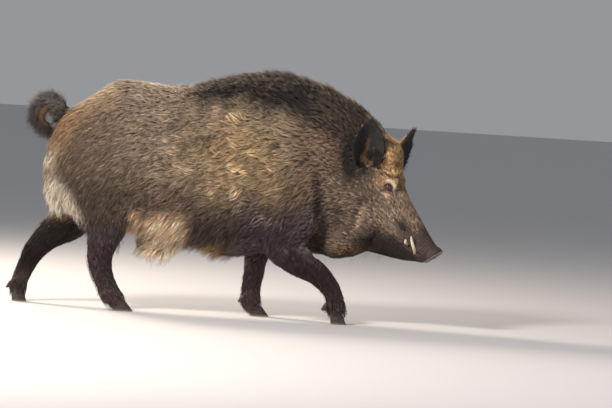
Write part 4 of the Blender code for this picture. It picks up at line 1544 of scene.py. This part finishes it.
def on_half(sign):
    """Density of the hair on one half of the head: finer over the muzzle and round the eye."""
    def weight(centres, normals):
        """That density at places on the skin."""
        forward, left, _ = head_axes(centres).T
        ahead, above, _ = by_eye(centres).T
        reach = np.hypot(ahead, above)
        bare = (almond(ahead, above) < 1.9) & (np.abs(left) > 0.03) & (reach < 0.03)
        finer = 1.0 + 1.6 * ramp(forward, 0.05, 0.20) + 1.8 * ramp(reach, 0.055, 0.03)
        return (left * sign > 0.0) * ~bare * finer * ramp(forward, 0.368, 0.350)
    return weight


def on_lips(centres, normals):
    """Density of the whiskers: along the upper lip and under the chin."""
    forward, left, up = head_axes(centres).T
    lip = band(forward, 0.22, 0.27, 0.32, 0.335) * ramp(np.abs(left), 0.015, 0.03)
    chin = band(forward, 0.15, 0.20, 0.27, 0.30) * ramp(normals[:, 2], -0.3, -0.6)
    return lip * ramp(up, 0.02, 0.0) + chin


def on_upper_lids(centres, normals):
    """Density of the lashes: along the rims of the upper lids."""
    ahead, above, _ = by_eye(centres).T
    near = (np.hypot(ahead, above) < 0.03) & (np.abs(head_axes(centres)[:, 1]) > 0.03)
    return near * band(almond(ahead, above), 1.15, 1.3, 1.7, 2.0) * ramp(above, 0.0, 0.003)


def on_fetlocks(centres, normals):
    """Density of the hair over the hooves, behind the shins and round the dewclaws."""
    z = centres[:, 2]
    behind = ramp(normals[:, 0], 0.1, -0.7) * ramp(z, 0.26, 0.16)
    near_claw = sum(bell(np.linalg.norm(centres - claw, axis=1), 0.0, 0.024) for claw in dewclaws())
    shown = ramp(normals[:, 2], -0.75, -0.45)
    return (0.5 * behind + ramp(z, 0.085, 0.060) + 2.5 * near_claw) * shown


def on_crest(centres, normals):
    """Density of the mane's bristles: along the top of nape, withers and back."""
    top = ramp(normals[:, 2], 0.55, 0.85) * (np.abs(centres[:, 1]) < 0.09)
    return top * ramp(centres[:, 0], -0.30, 0.05)


def on_underside(centres, normals):
    """Density of the fringe under the belly and down the back of the thighs."""
    x, _, z = centres.T
    belly = ramp(normals[:, 2], -0.25, -0.6) * band(x, -0.48, -0.42, 0.0, 0.06)
    thigh = ramp(normals[:, 0], -0.3, -0.8) * band(z, 0.26, 0.34, 0.5, 0.66) * (x < -0.5)
    return belly + 0.6 * thigh


class BOAR_OT_body_coat(bpy.types.Operator):
    """Eight pieces of coat over rump, flank, shoulder and neck, and long locks over the sides."""

    bl_idname = "boar.body_coat"
    bl_label = "Body coat"

    def execute(self, context):
        count = context.scene.boar_coat.body_tufts
        arms, thighs = UPPER_LEGS[:2], UPPER_LEGS[2:]
        spans = (         # name, place along the body, swirls, ruffle and the legs that it takes in
            ("rump", -2.0, -0.400, 0.10, 0.13, thighs),
            ("flank", -0.400, -0.110, 0.18, 0.18, thighs),
            ("shoulder", -0.110, 0.170, 0.26, 0.22, arms),
            ("neck", 0.170, 2.0, 0.16, 0.16, arms),
        )
        for order, (name, low, high, wave, ruffle, legs) in enumerate(spans):
            for side in SIDES:
                grow(Growth(f"coat_{name}_{side}", ("trunk", "neck") + legs, count,
                            100 + order * 2 + (side == "left"), box=side_box(low, high, side),
                            wave=wave, ruffle=ruffle, contrast=0.24))
        for order, side in enumerate(SIDES):
            grow(Growth(f"locks_{side}", ("trunk", "neck"), TUFTS["locks"], 120 + order,
                        weight=on_flanks, box=side_box(-0.40, 0.22, side), bent=True, wave=0.34,
                        clump=14, gather=0.70, ruffle=0.24, contrast=0.34, stand=0.95, longer=1.2,
                        wider=1.2, tips=0.25))
        return {"FINISHED"}


class BOAR_OT_head_coat(bpy.types.Operator):
    """Whiskers, lashes and the short hair over each half of the head."""

    bl_idname = "boar.head_coat"
    bl_label = "Head coat"

    def execute(self, context):
        count = context.scene.boar_coat.head_tufts
        grow(Growth("whiskers", HEAD, TUFTS["whiskers"], 210, bent=True, wave=0.05, clump=1, free=0.75,
                    droop=0.25, ruffle=0.25, weight=on_lips, longer=4.5, wider=0.40))
        grow(Growth("lashes", ("head",), TUFTS["lashes"], 211, bent=True, wave=0.05, clump=2, free=0.80,
                    ruffle=0.15, weight=on_upper_lids, longer=1.5, wider=0.40))
        for side, sign in zip(SIDES, (1, -1)):
            grow(Growth(f"coat_head_{side}", HEAD, count, 200 + sign, wave=0.12, clump=8, gather=0.38,
                        stand=0.80, ruffle=0.18, contrast=0.34, weight=on_half(sign)))
        return {"FINISHED"}


class BOAR_OT_leg_coat(bpy.types.Operator):
    """Short hair down the legs, and longer hair over the hooves and round the dewclaws."""

    bl_idname = "boar.leg_coat"
    bl_label = "Leg coat"

    def execute(self, context):
        count = context.scene.boar_coat.leg_tufts
        pairs = (("foreleg", LOWER_LEGS[:2] + UPPER_LEGS[:2]), ("hindleg", LOWER_LEGS[2:]))
        for order, (pair, parts) in enumerate(pairs):
            grow(Growth(f"coat_{pair}s", parts, count, 300 + order, wave=0.08, gather=0.35, stand=0.8,
                        ruffle=0.12, slot="leg_coat"))
        grow(Growth("fetlocks", LOWER_LEGS, TUFTS["fetlocks"], 310, bent=True, wave=0.10, clump=5,
                    gather=0.5, free=0.28, droop=0.40, ruffle=0.18, weight=on_fetlocks, longer=1.2,
                    wider=0.6, slot="leg_coat"))
        return {"FINISHED"}


class BOAR_OT_tail_coat(bpy.types.Operator):
    """Long hair on the curled tail."""

    bl_idname = "boar.tail_coat"
    bl_label = "Tail coat"

    def execute(self, context):
        grow(Growth("coat_tail", ("tail",), TUFTS["tail"], 400, wave=0.10, clump=6, gather=0.45,
                    free=0.70, ruffle=0.26))
        return {"FINISHED"}


class BOAR_OT_ear_coat(bpy.types.Operator):
    """Short hair on both faces of the ears, and longer hair at their edges."""

    bl_idname = "boar.ear_coat"
    bl_label = "Ear coat"

    def execute(self, context):
        for order, name in enumerate(EARS):
            hollow = np.array(Vector(EARS[name][2]).normalized())

            def rim(centres, normals):
                """Density of the longer hair at the ear's edge."""
                return ramp(np.abs(normals @ hollow), 0.6, 0.25)

            grow(Growth("coat_" + name, (name,), TUFTS["ear"], 500 + order, wave=0.10, gather=0.35,
                        stand=0.9, ruffle=0.22, slot="ear_skin"))
            grow(Growth("rim_hair_" + name, (name,), TUFTS["ear_rim"], 510 + order, wave=0.10, clump=4,
                        free=0.46, ruffle=0.30, weight=rim, longer=1.5, wider=0.8, slot="ear_skin"))
        return {"FINISHED"}


class BOAR_OT_fringes(bpy.types.Operator):
    """Bristles of the crest, and the long hair of belly and thighs."""

    bl_idname = "boar.fringes"
    bl_label = "Crest and fringes"

    def execute(self, context):
        grow(Growth("crest_bristles", ("trunk", "neck", "head"), TUFTS["crest"], 600, bent=True,
                    wave=0.06, clump=4, gather=0.4, free=0.58, ruffle=0.18, weight=on_crest,
                    longer=1.15, wider=0.85, tips=0.30))
        grow(Growth("belly_fringe", ("trunk",) + UPPER_LEGS[2:], TUFTS["belly"], 601, bent=True,
                    wave=0.10, clump=8, gather=0.7, free=0.62, droop=0.35, ruffle=0.24,
                    weight=on_underside, longer=1.15, wider=0.8))
        return {"FINISHED"}


def bridged_rings(rings):
    """A bmesh surface through rings of points, ring to ring."""
    work = bmesh.new()
    loops = []
    for ring in rings:
        verts = bmesh.ops.create_circle(work, cap_ends=False, radius=1.0, segments=len(ring))["verts"]
        for vert, place in zip(verts, ring):
            vert.co = place
        loops.append({edge for vert in verts for edge in vert.link_edges})
    for first, second in zip(loops, loops[1:]):
        bmesh.ops.bridge_loops(work, edges=list(first | second))
    bmesh.ops.recalc_face_normals(work, faces=work.faces)
    return work


class BOAR_OT_eyes(bpy.types.Operator):
    """Eyeballs with cornea, iris and pupil, and the lids round them."""

    bl_idname = "boar.eyes"
    bl_label = "Eyes and lids"

    def execute(self, context):
        for side, sign in zip(SIDES, (1, -1)):
            centre, axes = eye_axes(sign)
            self.eyeball(f"eye_{side}", centre, axes)
            self.lids(side, centre, axes)
        return {"FINISHED"}

    def eyeball(self, name, centre, axes):
        """A glossy ball whose angle from the line of sight tells pupil, iris and white."""
        work = bmesh.new()
        bmesh.ops.create_uvsphere(work, u_segments=56, v_segments=40, radius=EYE_RADIUS)
        for vert in work.verts:
            off = math.acos(max(-1.0, min(1.0, vert.co.z / EYE_RADIUS)))
            vert.co *= 1.0 + CORNEA_RISE * math.exp(-(off / CORNEA_WIDTH) ** 2)
        polar = np.array([math.atan2(math.hypot(v.co.x, v.co.y * 1.2), v.co.z) for v in work.verts])
        spoke = np.array([math.atan2(v.co.y, v.co.x) for v in work.verts])
        work.transform(Matrix.Translation(centre) @ axes.to_4x4())
        bmesh.ops.recalc_face_normals(work, faces=work.faces)
        eye = finished(name + "ball", work)
        fibres = 0.5 + 0.25 * np.sin(spoke * 23.0) + 0.25 * np.sin(spoke * 37.0 + 1.0)
        pupil, iris = np.array(shade(8, 6, 6)), np.array(shade(98, 48, 30))
        ring, white = np.array(shade(24, 13, 11)), np.array(shade(120, 84, 76))
        colours = iris * (0.70 + 0.6 * fibres[:, None])
        for tint, start, full in ((pupil, 0.36, 0.28), (ring, 0.70, 0.80), (white, 0.86, 0.98)):
            colours = blend(colours, tint, ramp(polar, start, full))
        paint(eye.data, "Marking", colours)
        look, shader = painted_look("boar eye", 900.0, 0.04, 0.03, 0.0002)
        shader.inputs["Coat Weight"].default_value = 1.0
        shader.inputs["Coat Roughness"].default_value = 0.02
        eye.data.materials.append(look)
        stands_for(eye, "eye", name)

    def lids(self, side, centre, axes):
        """Both lids as one ring of skin with an almond-shaped opening, laid on to the face."""
        profile = (          # size against the opening, height over the ball, share of the skin's height
            (1.00, -0.0006, 0.0), (0.99, 0.0008, 0.0), (1.06, 0.0017, 0.0), (1.20, 0.0022, 0.3),
            (1.40, 0.0020, 0.9), (1.60, 0.0016, 1.0), (1.85, 0.0011, 1.0), (2.15, 0.0003, 1.0),
            (2.55, -0.0012, 1.0),
        )
        hide = HIDE["skin"]
        sight = axes @ Vector((0.0, 0.0, 1.0))
        rings = []
        for size, over, share in profile:
            ring = []
            for step in range(LID_STEPS):
                angle = 2.0 * math.pi * step / LID_STEPS
                across, up = math.cos(angle), math.sin(angle)
                wide, high = OPENING[0], OPENING[1] * (1.0 if up > 0.0 else 0.85)
                reach = 2.0 * high / (abs(up) + math.sqrt(up * up + 4.0 * (high * across / wide) ** 2))
                reach = reach * size + 0.0012 * (size - 1.0)
                ahead, top = across * reach, up * reach
                flat = min(reach, 0.95 * EYE_RADIUS)
                height = math.sqrt(EYE_RADIUS ** 2 - flat ** 2)
                if share:
                    start = centre + axes @ Vector((ahead, top, 0.05))
                    hit = hide.tree.ray_cast(start, -sight, 0.08)[0]
                    skin = (hit - centre).dot(sight) if hit else height
                    height += (skin - height) * share
                ring.append(centre + axes @ Vector((ahead, top, height + over)))
            rings.append(ring)
        lid = finished(f"eyelids_{side}", bridged_rings(rings))
        points = vertex_places(lid.data)
        ahead, above, _ = by_eye(points).T
        beyond = almond(ahead, above)
        colours, _ = markings(points, np.full(len(points), PART["head"]))
        rim = np.array(shade(52, 32, 30))
        paint(lid.data, "Marking", blend(rim, colours * 0.8, ramp(beyond, 1.3, 2.6)))
        look, _ = painted_look("boar eyelid", 700.0, 0.45, 0.35, 0.0006)
        lid.data.materials.append(look)
        thick = lid.modifiers.new("Thick", "SOLIDIFY")
        thick.thickness = 0.0008
        thick.offset = -1.0
        settle(lid)
        stands_for(lid, "ear_skin")


class BOAR_OT_snout(bpy.types.Operator):
    """The snout disc with its rim, nostrils and pores, a painted highlight on its edge and painted shade
    in nostrils and groove.
    """

    bl_idname = "boar.snout"
    bl_label = "Snout disc"

    def execute(self, context):
        hue = np.array(context.scene.boar_colours.disc)
        disc = finished("snout", solid_copy("snout_disc"))
        remade(disc, DISC_CELL)
        mesh = disc.data
        points = vertex_places(mesh)
        edges = edge_ends(mesh)
        points = faired(points, edges, 0.9, 10)
        write_points(mesh, points)
        normals = vertex_normals(mesh)
        turn = Matrix.Rotation(DISC_PITCH, 3, "Y")
        local = (head_axes(points) - np.array(DISC_CENTRE)) @ np.array(turn)
        out, left, up = local.T
        reach = np.hypot(left, up) / DISC_HALF
        nostril = np.hypot(np.abs(left) - NOSTRIL.y, up - NOSTRIL.z) / NOSTRIL_RADIUS
        front = ramp(out, 0.006, 0.011)
        wall = ramp(out, 0.0105, 0.007) * ramp(reach, 0.80, 0.92)
        groove = bell(left, 0.0, 0.0016) * ramp(up, 0.004, -0.012)
        spoke = np.arctan2(up, left)
        push = front * (0.0002 * np.sin(spoke * 26.0) * band(reach, 0.70, 0.95, 0.97, 1.04)
                        + 0.0010 * bell(nostril, 1.35, 0.28)
                        - 0.0006 * groove
                        + 0.0004 * wander(points, 0.012, 31))
        push -= wall * (0.0018 * ramp(out, 0.009, 0.002) + 0.0005 * np.sin(out * 1500.0 + spoke * 2.0)
                        + 0.0004 * wander(points, 0.006, 33))
        write_points(mesh, points + normals * push[:, None])
        # rim is a painted highlight for the disc's front edge
        rim = np.array(shade(190, 168, 178))
        # dark is painted shade for the nostrils and the groove
        dark = np.array(shade(22, 14, 16))
        side_hue = np.array(shade(42, 32, 32))
        colours = np.tile(hue, (len(points), 1)) * (1.0 + 0.12 * wander(points, 0.010, 32))[:, None]
        # painted highlight along the front edge of the disc
        colours = blend(colours, rim, 0.70 * ramp(reach, 0.86, 0.98) * front)
        side_hue = side_hue * (1.0 + 0.30 * wander(points, 0.005, 34))[:, None]
        colours = blend(colours, side_hue, ramp(out, 0.0115, 0.008))
        # painted shade in the nostrils and the groove between them
        colours = blend(colours, dark, np.maximum(ramp(nostril, 1.05, 0.85), 0.45 * groove))
        paint(mesh, "Marking", colours)
        look, shader = painted_look("wet snout skin", 650.0, 0.56, 0.70, 0.0009, 0.30)
        shader.inputs["Coat Weight"].default_value = 0.05
        shader.inputs["Coat Roughness"].default_value = 0.30
        shader.inputs["Subsurface Weight"].default_value = 0.12
        shader.inputs["Subsurface Scale"].default_value = 0.004
        mesh.materials.append(look)
        mesh.shade_smooth()
        stands_for(disc, "snout_skin", "snout_disc")
        return {"FINISHED"}


class BOAR_OT_tusks(bpy.types.Operator):
    """Four tusks in worn ivory."""

    bl_idname = "boar.tusks"
    bl_label = "Tusks"

    def execute(self, context):
        ivory = np.array(context.scene.boar_colours.ivory)
        look, shader = painted_look("worn ivory", 160.0, 0.26, 0.25, 0.0004)
        shader.inputs["Coat Weight"].default_value = 0.3
        for name in ("tusk_left", "tusk_right", "upper_tusk_left", "upper_tusk_right"):
            tusk = finished("ivory_" + name, solid_copy(name))
            rounded(tusk)
            points = vertex_places(tusk.data)
            low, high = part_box(name)
            share = (points[:, 2] - low.z) / (high.z - low.z)
            stain = np.array(shade(120, 92, 60))
            colours = blend(ivory, stain, 0.65 * ramp(share, 0.55, 0.20))
            colours = colours * (1.0 + 0.06 * wander(points, 0.006, 41))[:, None]
            paint(tusk.data, "Marking", colours)
            tusk.data.materials.append(look)
            tusk.data.shade_smooth()
            stands_for(tusk, "tusk", name)
        return {"FINISHED"}


class BOAR_OT_hooves(bpy.types.Operator):
    """Hooves and dewclaws in dark horn with growth rings."""

    bl_idname = "boar.hooves"
    bl_label = "Hooves and dewclaws"

    def execute(self, context):
        horn = np.array(context.scene.boar_colours.horn)
        look, _ = painted_look("hoof horn", 240.0, 0.42, 0.4, 0.0006)
        for leg in LEGS:
            for kind in ("hoof", "dewclaw"):
                for toe in TOES:
                    self.claw(f"{leg}_{kind}_{toe}", horn, look)
        return {"FINISHED"}

    def claw(self, name, horn, look):
        """One claw, remade finely from its solid, with rings round it."""
        claw = finished("horn_" + name, solid_copy(name))
        remade(claw, CLAW_CELL)
        points = vertex_places(claw.data)
        edges = edge_ends(claw.data)
        points = faired(points, edges, 1.0, 34)
        write_points(claw.data, points)
        normals = vertex_normals(claw.data)
        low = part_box(name)[0]
        height = points[:, 2] - low[2]
        slant = height + 0.35 * (points[:, 0] - low[0])
        upright = ramp(np.abs(normals[:, 2]), 0.8, 0.5)
        rings = 0.00012 * np.sin(slant * (2.0 * math.pi / HOOF_RING))
        push = upright * (rings + 0.00018 * wander(points, 0.014, 51))
        points = points + normals * push[:, None]
        points[:, 2] = np.maximum(points[:, 2], low[2])
        write_points(claw.data, points)
        worn = np.array(shade(134, 116, 98))
        colours = np.tile(horn, (len(points), 1)) * (1.0 + 0.12 * np.sin(slant * 900.0) * upright)[:, None]
        paint(claw.data, "Marking", blend(colours, worn, 0.7 * ramp(height, 0.009, 0.001)))
        claw.data.materials.append(look)
        claw.data.shade_smooth()
        stands_for(claw, "hoof", name)


AIM_X, AIM_Z = 0.265, 0.4487      # the point that the camera looks at, before the solids were centred
SKY_LIGHT = 0.45                  # strength of the light from all round


class BOAR_OT_stage(bpy.types.Operator):
    """Plain pale floor, soft studio light and the camera."""

    bl_idname = "boar.stage"
    bl_label = "Floor, light and camera"

    def execute(self, context):
        self.floor()
        self.lights(context.scene)
        self.camera(context.scene)
        return {"FINISHED"}

    def floor(self):
        """A wide pale floor at the height of the soles."""
        look, _, shader = material("pale floor", 0.7, 0.3)
        shader.inputs["Base Color"].default_value = shade(196, 196, 199) + (1.0,)
        work = bmesh.new()
        bmesh.ops.create_grid(work, x_segments=1, y_segments=1, size=60.0)
        finished("floor", work, look)

    def lights(self, scene):
        """A large key light, a fill and a light behind that edges the coat."""
        settings = scene.boar_stage
        target = (Vector(SOLID_BOX[0]) + Vector(SOLID_BOX[1])) / 2
        lamps = (
            ("key", (-2.2, -3.4, 3.2), 1.1, settings.key, shade(255, 244, 230)),
            ("fill", (3.6, -3.2, 1.6), 2.6, settings.fill, shade(225, 232, 255)),
            ("rim", (-3.0, 2.2, 2.9), 1.6, settings.rim, shade(255, 238, 218)),
        )
        for name, place, size, power, tint in lamps:
            lamp = bpy.data.lights.new(name, "AREA")
            lamp.shape = "DISK"
            lamp.size = size
            lamp.energy = power
            lamp.color = tint
            obj = linked(name, lamp)
            obj.location = Vector(place)
            obj.rotation_euler = (target - obj.location).to_track_quat("-Z", "Y").to_euler()
        world = bpy.data.worlds.new("studio")
        world.use_nodes = True
        sky = world.node_tree.nodes["Background"]
        sky.inputs["Color"].default_value = shade(214, 216, 220) + (1.0,)
        sky.inputs["Strength"].default_value = SKY_LIGHT
        scene.world = world
        scene.view_settings.view_transform = "Standard"

    def camera(self, scene):
        """A long lens at the boar's right side, a little above the horizon."""
        settings = scene.boar_stage
        aim = Vector((AIM_X + SHIFT, 0.0, AIM_Z))
        away = Vector((0.0, -math.cos(settings.height), math.sin(settings.height)))
        leaning = Vector((-math.sin(settings.roll), 0.0, math.cos(settings.roll)))
        right = leaning.cross(away).normalized()
        up = away.cross(right)
        data = bpy.data.cameras.new("camera")
        data.lens = settings.lens
        data.sensor_width = 36.0
        data.clip_end = 200.0
        camera = linked("camera", data)
        turn = Matrix((right, up, away)).transposed()
        camera.matrix_world = Matrix.Translation(aim + away * settings.distance) @ turn.to_4x4()
        scene.camera = camera


OPERATORS = (
    BOAR_OT_skin, BOAR_OT_body_coat, BOAR_OT_head_coat, BOAR_OT_leg_coat, BOAR_OT_tail_coat,
    BOAR_OT_ear_coat, BOAR_OT_fringes, BOAR_OT_eyes, BOAR_OT_snout, BOAR_OT_tusks, BOAR_OT_hooves,
    BOAR_OT_stage,
)


class BOAR_PT_panel(bpy.types.Panel):
    """Lists the boar's operators and settings in the sidebar."""

    bl_idname = "BOAR_PT_panel"
    bl_label = "Wild boar"
    bl_space_type = "VIEW_3D"
    bl_region_type = "UI"
    bl_category = "Boar"

    def draw(self, context):
        for name in SETTINGS:
            settings = getattr(context.scene, name)
            box = self.layout.box()
            for field in settings.__annotations__:
                box.prop(settings, field)
        for operator in OPERATORS:
            self.layout.operator(operator.bl_idname)


def register():
    """Makes the settings, operators and panel known to Blender."""
    for kind in (*SETTINGS.values(), *OPERATORS, BOAR_PT_panel):
        bpy.utils.register_class(kind)
    for name, kind in SETTINGS.items():
        setattr(bpy.types.Scene, name, PointerProperty(type=kind))


def unregister():
    """Takes them out again."""
    for name in SETTINGS:
        delattr(bpy.types.Scene, name)
    for kind in (BOAR_PT_panel, *reversed(OPERATORS), *reversed(SETTINGS.values())):
        bpy.utils.unregister_class(kind)


def main():
    """Builds the whole scene."""
    register()
    for operator in OPERATORS:
        group, name = operator.bl_idname.split(".")
        getattr(getattr(bpy.ops, group), name)()


if __name__ == "__main__":
    main()
